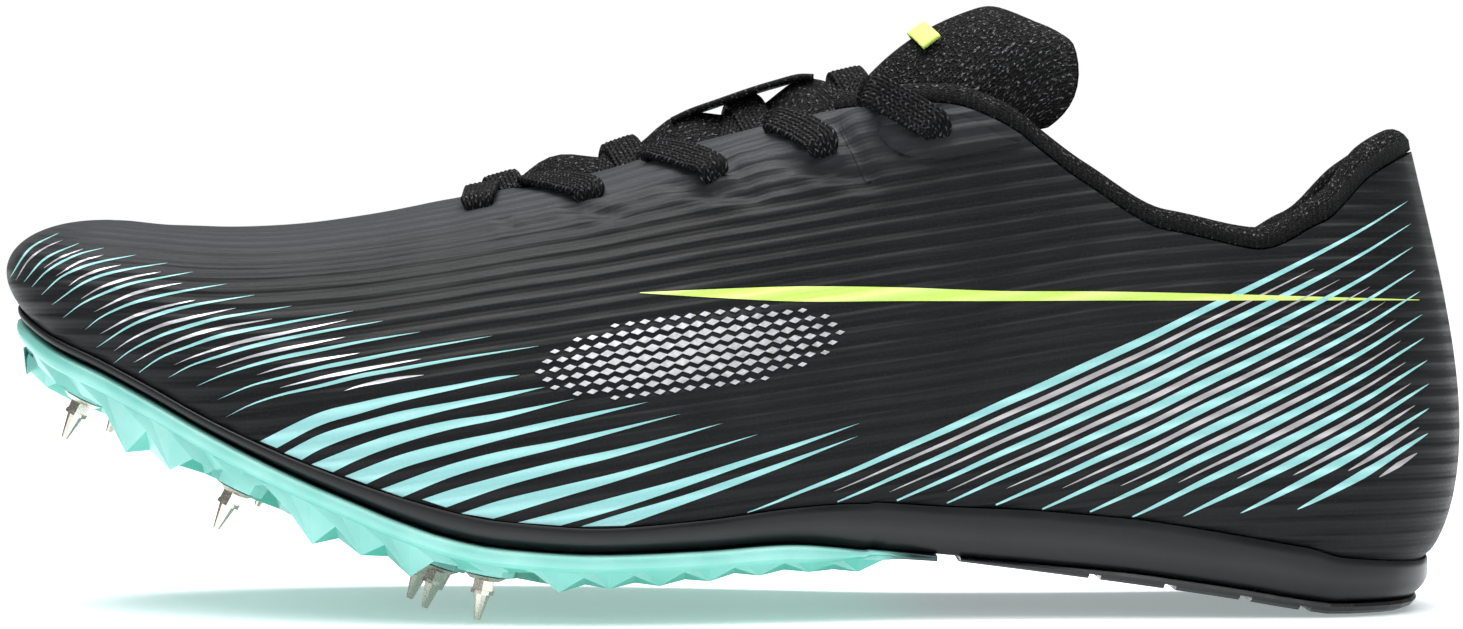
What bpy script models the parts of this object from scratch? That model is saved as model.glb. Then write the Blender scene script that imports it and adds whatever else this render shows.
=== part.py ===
"""A left track spike shoe, in metres, toe at -X, outer side at -Y, standing on its spikes and heel at Z = 0.

The last is worked out once, as a loop of sections that runs from the toe along the outer side to the heel and
back along the inner side. Every piece takes its place from that loop, from the sole line and from named gaps.
"""

import math

import bmesh
import bpy
import numpy as np

MM = 0.001
MERGE = 0.000005

# Sizes of the last
LENGTH = 277 * MM
BALL_WIDTH = 90 * MM
TOE_SPRING = 42 * MM
INSTEP_RISE = 72.5 * MM
HEEL_RISE = 76.3 * MM
SIDE_SHIFT = 1.5 * MM

# Upper
UPPER_WALL = 1.8 * MM
BELLY = 7.6 * MM
BELLY_SKEW = 0.65
FIT_GAP = 0.35 * MM
EYELET_BORE = 4.2 * MM
EYELET_INSET = 9.2 * MM
SCALLOP_WIDTH = 6.0 * MM

# Collar roll
ROLL_WIDTH = 6.2 * MM
ROLL_DEPTH = 14 * MM
ROLL_TOP = 3.9 * MM
ROLL_FRONT = 11.5

# Sole
SPIKE_LENGTH = 8.2 * MM
PLATE_BODY = 4.4 * MM
LUG_DEPTH = 4.4 * MM
LUG_PITCH = 9.0 * MM
FOAM_HEIGHT = 8.0 * MM
MIDSOLE_LIP = 0.8 * MM
RUBBER_HEIGHT = 2.0 * MM
INSOLE_HEIGHT = 3.0 * MM
HEEL_FRONT = 0.652
GROOVE_DEPTH = 0.9 * MM
GROOVE_WIDTH = 2.2 * MM

# Spikes
WASHER_WIDTH = 8.0 * MM
WASHER_HEIGHT = 0.8 * MM
GRIP_WIDTH = 4.2 * MM
GRIP_HEIGHT = 2.1 * MM
RING_WIDTH = 4.4 * MM
RING_HEIGHT = 0.5 * MM
CONE_WIDTH = 3.3 * MM
TIP_WIDTH = 1.3 * MM
BOSS_WIDTH = 10.5 * MM

# Tongue
TONGUE_START = 7.45
THROAT_END = 12.0
TONGUE_WALL = 3.4 * MM
TONGUE_HEAD = 28 * MM
TONGUE_PAD = 8.5 * MM
TONGUE_TUCK = 15 * MM
LACE_ROOM = 2.3 * MM
CROWN_SHARE = 0.33

# Lace
LACE_WIDTH = 6.8 * MM
LACE_THICKNESS = 1.7 * MM
CROSSING_RISE = 0.9 * MM
KEEPER_WIDTH = 11 * MM
KEEPER_THICKNESS = 1.0 * MM
KEEPER_ARCH = CROSSING_RISE + 1.3 * LACE_THICKNESS + 3 * FIT_GAP
LABEL_THICKNESS = 0.9 * MM

# Columns: how far from the toe, the sole's spring, its clearance at the ball, foam and rubber
# Each is a share of LENGTH, TOE_SPRING, BALL_CLEARANCE, FOAM_HEIGHT or RUBBER_HEIGHT
SOLE_COLUMNS = ("along", "spring", "clear", "foam", "rubber")
SOLE = (
    (0.010, 1.000, 1.00, 0.28, 0.00),
    (0.042, 0.867, 1.00, 0.30, 0.00),
    (0.080, 0.757, 1.00, 0.31, 0.00),
    (0.116, 0.643, 1.00, 0.32, 0.00),
    (0.152, 0.520, 1.00, 0.33, 0.00),
    (0.186, 0.412, 1.00, 0.36, 0.00),
    (0.218, 0.317, 1.00, 0.40, 0.00),
    (0.253, 0.222, 1.00, 0.46, 0.00),
    (0.286, 0.136, 1.00, 0.54, 0.00),
    (0.319, 0.066, 1.00, 0.60, 0.00),
    (0.351, 0.026, 1.00, 0.60, 0.00),
    (0.415, 0.000, 1.00, 0.58, 0.00),
    (0.480, 0.000, 1.04, 0.67, 0.00),
    (0.539, 0.000, 1.11, 0.81, 0.00),
    (0.591, 0.000, 1.00, 1.07, 0.00),
    (0.640, 0.000, 0.83, 1.14, 0.30),
    (0.710, 0.000, 0.62, 1.24, 0.70),
    (0.780, 0.000, 0.41, 1.25, 1.00),
    (0.843, 0.000, 0.20, 1.22, 1.00),
    (0.880, 0.000, 0.06, 1.21, 1.00),
    (0.905, 0.000, 0.00, 1.06, 1.00),
    (0.955, 0.000, 0.00, 0.90, 1.00),
    (0.980, 0.000, 0.05, 0.84, 1.00),
)
BALL_CLEARANCE = SPIKE_LENGTH + PLATE_BODY

# The middle of the foot bends inwards at the arch: share of half the ball's width, towards the inner side
CENTRE_COLUMNS = ("along", "inwards")
CENTRE = (
    (0.00, 0.115),
    (0.08, 0.085),
    (0.16, 0.045),
    (0.26, 0.005),
    (0.36, -0.040),
    (0.46, -0.080),
    (0.56, -0.090),
    (0.66, -0.065),
    (0.76, -0.035),
    (0.86, 0.000),
    (1.00, 0.000),
)

# One row for each section from the toe to the heel, the same for both sides of the centre line
# base and top give the lower and upper edge, instep and heel the rise from one to the other
# round blends a straight side into a dome, belly is how far the side swells as a share of BELLY
SECTION_COLUMNS = (
    "base_along", "base_half", "top_along", "top_half", "instep", "heel", "round", "belly", "full",
)
SECTIONS = (
    (0.010, 0.000, 0.070, 0.000, 0.343, 0.000, 1.00, 0.54, 2.50),
    (0.018, 0.270, 0.073, 0.000, 0.347, 0.000, 1.00, 0.51, 2.50),
    (0.045, 0.500, 0.083, 0.000, 0.362, 0.000, 1.00, 0.42, 2.50),
    (0.085, 0.640, 0.108, 0.000, 0.397, 0.000, 1.00, 0.32, 2.45),
    (0.130, 0.775, 0.142, 0.000, 0.458, 0.000, 1.00, 0.25, 2.35),
    (0.190, 0.902, 0.193, 0.000, 0.552, 0.000, 1.00, 0.22, 2.25),
    (0.250, 0.960, 0.250, 0.000, 0.662, 0.000, 1.00, 0.21, 2.15),
    (0.305, 0.987, 0.305, 0.000, 0.767, 0.000, 1.00, 0.21, 2.10),
    (0.340, 0.993, 0.338, 0.100, 0.817, 0.000, 0.95, 0.24, 2.05),
    (0.400, 0.978, 0.400, 0.195, 0.880, 0.000, 0.84, 0.26, 2.00),
    (0.470, 0.910, 0.475, 0.255, 0.948, 0.000, 0.72, 0.32, 2.00),
    (0.540, 0.807, 0.545, 0.305, 0.979, 0.000, 0.60, 0.37, 2.00),
    (0.590, 0.742, 0.592, 0.380, 1.000, 0.000, 0.50, 0.39, 2.00),
    (0.630, 0.702, 0.640, 0.475, 1.012, 0.000, 0.42, 0.39, 2.00),
    (0.670, 0.682, 0.680, 0.545, 0.968, 0.000, 0.35, 0.39, 2.00),
    (0.720, 0.673, 0.735, 0.600, 0.420, 0.390, 0.28, 0.42, 2.00),
    (0.780, 0.680, 0.790, 0.620, 0.000, 0.700, 0.20, 0.45, 2.00),
    (0.840, 0.693, 0.845, 0.620, 0.000, 0.690, 0.15, 0.50, 2.00),
    (0.895, 0.671, 0.892, 0.580, 0.000, 0.786, 0.10, 0.61, 2.00),
    (0.940, 0.556, 0.930, 0.440, 0.000, 0.925, 0.05, 0.79, 2.00),
    (0.967, 0.311, 0.958, 0.240, 0.000, 0.985, 0.00, 0.95, 2.00),
    (0.975, 0.000, 0.968, 0.000, 0.000, 1.000, 0.00, 1.00, 2.00),
)
LAST_ROW = len(SECTIONS) - 1
LOOP = 2 * LAST_ROW

# How far down the plate reaches under the foam, as shares of PLATE_BODY and LUG_DEPTH
PLATE_COLUMNS = ("along", "body", "lug")
PLATE = (
    (0.010, 1.20, 1.20),
    (0.060, 1.35, 1.60),
    (0.120, 1.35, 1.45),
    (0.190, 1.50, 1.45),
    (0.250, 1.25, 1.10),
    (0.310, 1.10, 1.10),
    (0.370, 1.00, 0.95),
    (0.420, 0.90, 0.68),
    (0.480, 0.80, 0.58),
    (0.530, 0.74, 0.54),
    (0.580, 0.66, 0.40),
    (0.605, 0.34, 0.00),
    (0.650, 0.18, 0.00),
)

# The spikes: share of the length, share of half the ball's width, height of the tip as a share of TOE_SPRING
SPIKE_COLUMNS = ("along", "across", "tip")
SPIKES = (
    (0.048, -0.360, 0.750),
    (0.056, 0.500, 0.738),
    (0.160, -0.735, 0.376),
    (0.158, 0.735, 0.376),
    (0.293, -0.320, 0.000),
    (0.277, 0.110, 0.000),
    (0.334, -0.830, 0.000),
    (0.292, 0.560, 0.000),
)

# Eyelets: the section each lies on, and how far below the throat's edge as a share of EYELET_INSET
EYELET_COLUMNS = ("section", "depth")
EYELETS = ((7.80, 1.25), (9.07, 1.12), (10.18, 1.18), (11.33, 0.90), (12.93, 0.52))
SCALLOPS = (8.45, 9.66, 10.78)

# Half of the tongue's top edge: place across, then shares of TONGUE_HEAD back, of the half width, and down
HEAD_COLUMNS = ("place", "back", "side", "drop")
HEAD = ((0.0, 0.00, 0.000, 0.00), (0.6, 0.30, 0.310, 0.24), (1.0, 0.47, 0.420, 0.80))

# The collar roll's outline around the top edge: shares of ROLL_WIDTH outwards and of ROLL_DEPTH upwards
ROLL_OUTLINE = (
    (-0.02, 0.035),
    (0.00, 0.150),
    (-0.22, 0.265),
    (-0.58, 0.265),
    (-0.88, 0.140),
    (-1.00, -0.150),
    (-0.92, -0.550),
    (-0.70, -1.000),
    (-0.52, -1.000),
    (-0.42, -0.450),
    (-0.40, -0.050),
    (-0.36, 0.035),
)


def column(table, names, name):
    return [row[names.index(name)] for row in table]


def monotone(places, values):
    """A smooth curve through the values that never swings past them."""
    places = np.asarray(places, float)
    values = np.asarray(values, float)
    steps = np.diff(places)
    slopes = np.diff(values) / steps
    tangents = np.zeros(len(values))
    tangents[0] = slopes[0]
    tangents[-1] = slopes[-1]
    for i in range(1, len(values) - 1):
        before = slopes[i - 1]
        after = slopes[i]
        if before * after > 0:
            first = 2 * steps[i] + steps[i - 1]
            second = steps[i] + 2 * steps[i - 1]
            tangents[i] = (first + second) / (first / before + second / after)

    def value(place):
        i = int(np.clip(np.searchsorted(places, place) - 1, 0, len(steps) - 1))
        t = min(max((place - places[i]) / steps[i], 0.0), 1.0)
        start = (2 * t + 1) * (1 - t) ** 2 * values[i] + t * t * (3 - 2 * t) * values[i + 1]
        return start + steps[i] * (t * (1 - t) ** 2 * tangents[i] - t * t * (1 - t) * tangents[i + 1])

    return value


def along_curve(table, names, name):
    return monotone(column(table, names, "along"), column(table, names, name))


sole_spring = along_curve(SOLE, SOLE_COLUMNS, "spring")
sole_clear = along_curve(SOLE, SOLE_COLUMNS, "clear")
sole_foam = along_curve(SOLE, SOLE_COLUMNS, "foam")
sole_rubber = along_curve(SOLE, SOLE_COLUMNS, "rubber")
centre_shift = along_curve(CENTRE, CENTRE_COLUMNS, "inwards")
plate_body = along_curve(PLATE, PLATE_COLUMNS, "body")
plate_lug = along_curve(PLATE, PLATE_COLUMNS, "lug")


def place_x(along):
    return (along - 0.5) * LENGTH


def foam_bottom(along):
    """The height of the foam's underside, which plate and rubber follow."""
    stack = RUBBER_HEIGHT * sole_rubber(along) + FIT_GAP * (sole_rubber(along) > 0)
    return TOE_SPRING * sole_spring(along) + BALL_CLEARANCE * sole_clear(along) + stack


def bite_height(along):
    """The height of the line where the upper meets the foam."""
    return foam_bottom(along) + FOAM_HEIGHT * sole_foam(along)


def centre_y(along):
    return centre_shift(along) * BALL_WIDTH / 2 + SIDE_SHIFT


def around(name):
    """A section column as a smooth function of the place on the loop; halves are negative on the outer side."""
    values = column(SECTIONS, SECTION_COLUMNS, name)
    places = range(-3, LOOP + 4)
    turned = []
    for place in places:
        spot = place % LOOP
        row = spot if spot <= LAST_ROW else LOOP - spot
        sign = -1 if name.endswith("half") and spot < LAST_ROW else 1
        turned.append(sign * values[row])
    curve = monotone(places, turned)
    return lambda place: curve(place % LOOP)


section = {name: around(name) for name in SECTION_COLUMNS}


def base_point(t):
    along = section["base_along"](t)
    y = centre_y(along) + section["base_half"](t) * BALL_WIDTH / 2
    return np.array((place_x(along), y, bite_height(along)))


def top_point(t):
    along = section["top_along"](t)
    y = centre_y(along) + section["top_half"](t) * BALL_WIDTH / 2
    rise = INSTEP_RISE * section["instep"](t) + HEEL_RISE * section["heel"](t)
    return np.array((place_x(along), y, bite_height(along) + rise))


def unit(vector):
    return vector / np.linalg.norm(vector)


def outward(t):
    """The level direction away from the foot at a place on the loop."""
    step = base_point(t + 0.02) - base_point(t - 0.02)
    return unit(np.array((step[1], -step[0], 0.0)))


def rib(t, count):
    """Points at equal steps up the side of the last, from the bite line to the upper's edge or ridge."""
    base = base_point(t)
    span = top_point(t) - base
    u = np.linspace(0, 1, 61)
    blend = section["round"](t)
    power = 2 / section["full"](t)
    across = (1 - blend) * u + blend * (1 - np.clip(np.cos(u * math.pi / 2), 0, 1) ** power)
    up = (1 - blend) * u + blend * np.sin(u * math.pi / 2) ** power
    swell = section["belly"](t) * BELLY * np.sin(math.pi * u**BELLY_SKEW)
    points = base + np.column_stack((across, across, up)) * span + swell[:, None] * outward(t)
    lengths = np.concatenate(([0], np.cumsum(np.linalg.norm(np.diff(points, axis=0), axis=1))))
    places = np.linspace(0, lengths[-1], count)
    return np.column_stack([np.interp(places, lengths, points[:, k]) for k in range(3)]), lengths[-1]


def skin(t, depth):
    """A point on the outside of the upper, this far below its top edge, and the way out of it there."""
    def spot(place, below):
        points, length = rib(place, 61)
        share = (1 - below / length) * 60
        return np.array([np.interp(share, range(61), points[:, k]) for k in range(3)])

    point = spot(t, depth)
    step = 0.002 * LENGTH
    along = spot(t + 0.05, depth) - spot(t - 0.05, depth)
    up = spot(t, max(depth - step, 0)) - spot(t, depth + step)
    return point, unit(np.cross(along, up))


def opposite(t):
    return LOOP - t


def section_at(along):
    """The place on the outer side of the loop whose base lies this far from the toe."""
    places = np.linspace(0, LAST_ROW, 400)
    return float(np.interp(along, [section["base_along"](place) for place in places], places))


def new_object(name, points, faces, colour, roughness=0.6, metallic=0.0, smooth=True):
    mesh = bpy.data.meshes.new(name)
    mesh.from_pydata([tuple(map(float, point)) for point in points], [], faces)
    obj = bpy.data.objects.new(name, mesh)
    parts.objects.link(obj)
    form = bmesh.new()
    form.from_mesh(mesh)
    bmesh.ops.remove_doubles(form, verts=form.verts, dist=MERGE)
    form.to_mesh(mesh)
    form.free()
    if smooth:
        mesh.shade_smooth()
        mesh.set_sharp_from_angle(angle=math.radians(40))
    dress(obj, colour, roughness, metallic)
    return obj


def dress(obj, colour, roughness, metallic=0.0):
    material = bpy.data.materials.new(obj.name)
    material.use_nodes = True
    shader = material.node_tree.nodes["Principled BSDF"]
    shader.inputs["Base Color"].default_value = (*colour, 1)
    shader.inputs["Roughness"].default_value = roughness
    shader.inputs["Metallic"].default_value = metallic
    obj.data.materials.clear()
    obj.data.materials.append(material)


def outside_out(obj):
    form = bmesh.new()
    form.from_mesh(obj.data)
    bmesh.ops.recalc_face_normals(form, faces=form.faces)
    form.to_mesh(obj.data)
    form.free()


def end_pairs(count, has_tip):
    """Facing points of a ring, for closing it with strips; a ring with a tip has single points at both ends."""
    if has_tip:
        middle = count // 2
        return [(0, 0)] + [(k, count - k) for k in range(1, middle)] + [(middle, middle)]
    return [(k, count - 1 - k) for k in range(count // 2)]


def loft(name, rings, colour, has_tip=False, **finish):
    """A closed solid through rings of equal counts, its two ends closed by strips."""
    count = len(rings[0])
    points = [point for ring in rings for point in ring]
    faces = []
    for level in range(len(rings) - 1):
        for k in range(count):
            after = (k + 1) % count
            low = level * count
            high = low + count
            faces.append((low + k, low + after, high + after, high + k))
    for level in (0, len(rings) - 1):
        start = level * count
        pairs = end_pairs(count, has_tip)
        for (a, b), (c, d) in zip(pairs, pairs[1:]):
            corners = []
            for corner in (a, c, d, b):
                if start + corner not in corners:
                    corners.append(start + corner)
            faces.append(corners)
    obj = new_object(name, points, faces, colour, **finish)
    outside_out(obj)
    return obj


def add_cylinder(form, width, top_width, height, place, axis, sides=20):
    """A cylinder or cone in a bmesh, from a place along an axis."""
    turn = axis_turn(axis)
    made = bmesh.ops.create_cone(
        form, cap_ends=True, segments=sides, radius1=width / 2, radius2=top_width / 2, depth=height
    )
    for vert in made["verts"]:
        local = np.array(vert.co) + np.array((0, 0, height / 2))
        vert.co = tuple(np.asarray(place) + turn @ local)


def axis_turn(axis):
    """The turn that carries +Z to the axis."""
    axis = unit(np.asarray(axis, float))
    helper = np.array((0.0, 1.0, 0.0)) if abs(axis[1]) < 0.9 else np.array((1.0, 0.0, 0.0))
    first = unit(np.cross(helper, axis))
    return np.column_stack((first, np.cross(axis, first), axis))


def cutter(name, form):
    mesh = bpy.data.meshes.new(name)
    form.to_mesh(mesh)
    form.free()
    obj = bpy.data.objects.new(name, mesh)
    obj.hide_render = True
    obj.display_type = "WIRE"
    cutters.objects.link(obj)
    return obj


def boolean(obj, other, operation):
    change = obj.modifiers.new(operation.title(), "BOOLEAN")
    change.operation = operation
    change.object = other


def make_upper():
    """The shell: an open skin over the last with its wall inside, then eyelets and the scalloped throat."""
    stations = 2 * LOOP
    levels = 9
    points = []
    for i in range(stations):
        points.extend(rib(i * LOOP / stations, levels)[0])
    faces = []
    for i in range(stations):
        after = (i + 1) % stations
        for k in range(levels - 1):
            near = i * levels + k
            far = after * levels + k
            faces.append((near, far, far + 1, near + 1))
    upper = new_object("upper", points, faces, (0.018, 0.018, 0.020), roughness=0.55)
    wall = upper.modifiers.new("Wall", "SOLIDIFY")
    wall.thickness = UPPER_WALL
    wall.offset = -1
    wall.use_even_offset = True
    holes = bmesh.new()
    for row in EYELETS:
        for t in (row[0], opposite(row[0])):
            point, way = skin(t, row[1] * EYELET_INSET)
            reach = 3 * UPPER_WALL
            add_cylinder(holes, EYELET_BORE, EYELET_BORE, 2 * reach, point - way * reach, way, 8)
    for place in SCALLOPS:
        for t in (place, opposite(place)):
            point, way = skin(t, 0.03 * SCALLOP_WIDTH)
            reach = 3 * UPPER_WALL
            add_cylinder(holes, SCALLOP_WIDTH, SCALLOP_WIDTH, 2 * reach, point - way * reach, way, 8)
    boolean(upper, cutter("eyelet_cutter", holes), "DIFFERENCE")
    return upper


def collar_frame(t):
    """The top edge, the way out of the wall and the way up along it."""
    point, way = skin(t, 0.0)
    below, _ = skin(t, 0.45 * ROLL_DEPTH)
    up = unit(point - below)
    return point, way, up


def make_collar_roll():
    """The padded cuff: its outline swept along the collar's edge, thinner at the front."""
    rings = []
    for t in np.arange(ROLL_FRONT, opposite(ROLL_FRONT) + 0.01, 0.5):
        point, way, up = collar_frame(t)
        from_front = min(t, opposite(t)) - ROLL_FRONT
        size = 0.62 + 0.38 * min(max(from_front / 3, 0), 1)
        tall = 1.0 + 0.5 * min(max((from_front - 6) / 3, 0), 1)
        deep = 0.45 + 0.55 * min(from_front / 2.5, 1)
        ring = []
        for out, rise in ROLL_OUTLINE:
            inside = out < -0.3
            reach = UPPER_WALL + 2 * FIT_GAP if inside and rise < 0.2 else 0.0
            aside = min(out * ROLL_WIDTH * size, -reach)
            height = rise * ROLL_DEPTH * (tall if rise > 0.1 else deep if rise < 0 else 1.0)
            if height < 0:
                wall, wall_way = skin(t, -height)
                ring.append(wall + wall_way * aside)
            else:
                ring.append(point + way * aside + up * height)
        rings.append(ring)
    return loft("collar_roll", rings, (0.012, 0.012, 0.012), roughness=0.9)


def tongue_ring(s):
    """Five points across the tongue's outer face; s runs from 0 at the throat's start to 1 at its free top."""
    split = 0.62
    share = min(s / split, 1.0)
    t = TONGUE_START + (THROAT_END - TONGUE_START) * share
    spots = []
    narrow = min(max((share - 0.78) / 0.22, 0), 1)
    room = UPPER_WALL + LACE_ROOM + (ROLL_WIDTH - LACE_ROOM + 2 * FIT_GAP) * narrow
    for side in (t, opposite(t)):
        edge, way = skin(side, 0.5 * LACE_ROOM)
        deep, deep_way = skin(side, TONGUE_TUCK * (0.55 + 0.45 * share))
        spots.append((deep - deep_way * room, edge - way * room))
    left = top_point(t)
    right = top_point(opposite(t))
    half_gap = abs(right[1] - left[1]) / 2
    lift = CROWN_SHARE * half_gap - 0.6 * LACE_ROOM * (1 - share)
    middle = (left + right) / 2 + np.array((0, 0, lift))
    ring = [spots[0][0], spots[0][1], middle, spots[1][1], spots[1][0]]
    if s <= split:
        return ring
    free = (s - split) / (1 - split)
    end = []
    for place, sign in ((2, -1), (1, -1), (0, 1), (1, 1), (2, 1)):
        _, back, aside, drop = HEAD[place]
        offset = np.array((
            TONGUE_HEAD * (0.86 + back),
            sign * aside * BALL_WIDTH / 2,
            TONGUE_HEAD * (0.55 - drop),
        ))
        end.append(middle + offset)
    bulge = 0.08 * TONGUE_HEAD * math.sin(math.pi * free)
    return [
        a * (1 - free) + b * free + np.array((-bulge * 0.5, 0, bulge))
        for a, b in zip(ring, end)
    ]


def tongue_face(s, v):
    """A point of the tongue's outer face; v runs from -1 on the outer side to 1 on the inner side."""
    ring = tongue_ring(s)
    places = (-1.0, -0.6, 0.0, 0.6, 1.0)
    return np.array([monotone(places, [point[k] for point in ring])(v) for k in range(3)])


def tongue_way(s, v):
    low = max(s - 0.02, 0)
    high = min(s + 0.02, 1)
    along = tongue_face(high, v) - tongue_face(low, v)
    across = tongue_face(s, min(v + 0.05, 1)) - tongue_face(s, max(v - 0.05, -1))
    return unit(np.cross(along, across))


def tongue_pad(s):
    """The tongue's thickness: thin under the laces, padded at its head, rounded off at the top."""
    swell = min(max((s - 0.5) / 0.25, 0), 1)
    return TONGUE_WALL + (TONGUE_PAD - TONGUE_WALL) * swell * swell * (3 - 2 * swell)


def make_tongue():
    rings = []
    stations = list(np.linspace(0, 0.94, 19)) + [0.975, 1.0]
    for s in stations:
        pad = tongue_pad(s)
        rounding = min(max((s - 0.94) / 0.06, 0), 1)
        inset = pad * 0.42 * rounding**2
        outer = []
        inner = []
        for v in np.linspace(-1, 1, 11):
            point = tongue_face(s, v)
            way = tongue_way(s, v)
            thin = pad * (1 - 0.45 * abs(v) ** 4)
            edge = 0.15 * pad * abs(v) ** 6
            outer.append(point - way * (inset + edge))
            inner.append(point - way * (thin - inset))
        rings.append(outer + inner[::-1])
    return loft("tongue", rings, (0.014, 0.014, 0.015), roughness=0.9)


def make_tongue_label():
    rings = []
    for s in np.linspace(0.745, 0.835, 4):
        low = []
        high = []
        for v in np.linspace(-0.42, 0.42, 7):
            point = tongue_face(s, v)
            way = tongue_way(s, v)
            low.append(point + way * FIT_GAP)
            high.append(point + way * (FIT_GAP + LABEL_THICKNESS))
        rings.append(low + high[::-1])
    return loft("tongue_label", rings, (0.60, 0.80, 0.15), roughness=0.6)


def throat_tongue_place(t):
    """How far along the tongue a section of the throat lies."""
    return 0.62 * (t - TONGUE_START) / (THROAT_END - TONGUE_START)


def over_roll(t, v):
    """How much a strap rises to pass over the front of the collar roll, most at the throat's edge."""
    near = min(max((t - ROLL_FRONT + 0.6) / 0.5, 0), 1)
    reach = 0.42
    return near * ROLL_TOP * max(1 - ((abs(v) - 0.5) / reach) ** 2, 0)


def lace_path(start, finish, from_side, lift_start, lift_finish, rise):
    """Places and ways up along one strap, from an eyelet on one side to an eyelet on the other."""
    points = []
    ways = []
    half = LACE_THICKNESS / 2
    for q in np.linspace(0, 1, 13):
        t = start[0] + (finish[0] - start[0]) * q
        lift = lift_start + (lift_finish - lift_start) * q
        v = 2 * q - 1
        left, left_way = skin(t, 0.0)
        right, right_way = skin(opposite(t), 0.0)
        if from_side > 0:
            left, right = right, left
            left_way, right_way = right_way, left_way
        first = t if from_side < 0 else opposite(t)
        if v < -0.5:
            depth = start[1] * EYELET_INSET * (-v - 0.5) / 0.5
            point, way = skin(first, depth)
        elif v > 0.5:
            depth = finish[1] * EYELET_INSET * (v - 0.5) / 0.5
            point, way = skin(opposite(first), depth)
        else:
            w = v / 0.5
            point = left + (right - left) * (w + 1) / 2
            s = throat_tongue_place(t)
            top = tongue_face(max(s, 0.0), 0.0)
            need = max(top[2] - point[2], 0) + FIT_GAP + rise
            way = unit(left_way * (1 - w) / 2 + right_way * (w + 1) / 2)
            point = point + np.array((0, 0, need * (1 - abs(w) ** 2.5)))
        points.append(point + way * (FIT_GAP + half + lift + over_roll(t, v)))
        ways.append(way)
    return np.array(points), np.array(ways)


def strap(points, ways, width, thickness):
    """A flat band with rounded edges along a path."""
    rings = []
    steps = np.gradient(points, axis=0)
    for point, way, step in zip(points, ways, steps):
        forward = unit(step)
        side = unit(np.cross(way, forward))
        top = np.cross(forward, side)
        ring = []
        for wide, high in ((-0.5, 0), (-0.36, 0.5), (0.36, 0.5), (0.5, 0), (0.36, -0.5), (-0.36, -0.5)):
            ring.append(point + side * wide * width + top * high * thickness)
        rings.append(ring)
    return rings


def band_faces(rings):
    count = len(rings[0])
    faces = []
    for level in range(len(rings) - 1):
        for k in range(count):
            after = (k + 1) % count
            low = level * count
            high = low + count
            faces.append((low + k, low + after, high + after, high + k))
    faces.append(tuple(range(count)))
    faces.append(tuple(reversed(range((len(rings) - 1) * count, len(rings) * count))))
    return faces


def make_laces():
    """The bar at the front and four crossings, joined where they meet."""
    step = 0.1 * LACE_THICKNESS
    bands = [(EYELETS[0], EYELETS[0], -1, 0.0, 0.0, 2 * step)]
    for low, high in zip(EYELETS, EYELETS[1:]):
        clear = 7 * step if high is EYELETS[-1] else step
        bands.append((low, high, -1, 0.0, step, clear))
        bands.append((low, high, 1, step, 2 * step, clear + CROSSING_RISE))
    laces = None
    for number, (start, finish, side, lift_start, lift_finish, rise) in enumerate(bands):
        points, ways = lace_path(start, finish, side, lift_start, lift_finish, rise)
        rings = strap(points, ways, LACE_WIDTH, LACE_THICKNESS)
        corners = [point for ring in rings for point in ring]
        if laces is None:
            laces = new_object("laces", corners, band_faces(rings), (0.01, 0.01, 0.01), roughness=0.8)
            outside_out(laces)
            continue
        mesh = bpy.data.meshes.new(f"lace_band_{number}")
        mesh.from_pydata([tuple(map(float, point)) for point in corners], [], band_faces(rings))
        form = bmesh.new()
        form.from_mesh(mesh)
        bmesh.ops.recalc_face_normals(form, faces=form.faces)
        boolean(laces, cutter(f"lace_band_{number}", form), "UNION")
    return laces


def make_lace_keeper():
    """A band along the middle of the tongue that arches over the third crossing."""
    points = []
    ways = []
    centre = (EYELETS[2][0] + EYELETS[3][0]) / 2
    for q in np.linspace(-1, 1, 13):
        s = throat_tongue_place(centre + 0.72 * q)
        arch = 1 - abs(q) ** 3
        height = FIT_GAP + KEEPER_THICKNESS / 2 + arch * KEEPER_ARCH
        way = tongue_way(s, 0.0)
        points.append(tongue_face(s, 0.0) + way * height)
        ways.append(way)
    rings = strap(np.array(points), np.array(ways), KEEPER_WIDTH, KEEPER_THICKNESS)
    corners = [point for ring in rings for point in ring]
    keeper = new_object("lace_keeper", corners, band_faces(rings), (0.01, 0.01, 0.01), roughness=0.8)
    outside_out(keeper)
    return keeper


def sole_loop(inset, height, stations):
    """A ring around the sole at these places of the loop, pushed in by inset, at this height."""
    ring = []
    for t in stations:
        point = base_point(t)
        along = section["base_along"](t)
        shift = outward(t) * inset(along)
        ring.append(np.array((point[0] - shift[0], point[1] - shift[1], height(along))))
    return ring


def full_stations(count):
    return [i * LOOP / count for i in range(count)]


def make_midsole():
    """The foam: full length, lipped under the upper, stepped in and rounded towards its underside."""
    def level(share):
        return lambda along: foam_bottom(along) + (bite_height(along) - foam_bottom(along)) * share

    stations = full_stations(84)
    rings = [
        sole_loop(lambda a: -0.3 * MIDSOLE_LIP, lambda a: bite_height(a) - FIT_GAP, stations),
        sole_loop(lambda a: -MIDSOLE_LIP, level(0.84), stations),
        sole_loop(lambda a: -MIDSOLE_LIP, level(0.50), stations),
        sole_loop(lambda a: 0.2 * MIDSOLE_LIP, level(0.22), stations),
        sole_loop(lambda a: 3.2 * MIDSOLE_LIP, level(0.0), stations),
    ]
    return loft("midsole", rings, (0.02, 0.02, 0.022), has_tip=True, roughness=0.45)


def make_insole():
    stations = full_stations(60)
    inset = UPPER_WALL + 2 * FIT_GAP
    rings = [
        sole_loop(lambda a: inset, lambda a: bite_height(a) + 0.3 * FIT_GAP, stations),
        sole_loop(lambda a: inset + 0.07 * INSOLE_HEIGHT, lambda a: bite_height(a) + 0.8 * INSOLE_HEIGHT, stations),
        sole_loop(lambda a: inset + 0.4 * INSOLE_HEIGHT, lambda a: bite_height(a) + INSOLE_HEIGHT, stations),
    ]
    return loft("insole", rings, (0.05, 0.05, 0.055), has_tip=True, roughness=0.9)


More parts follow.
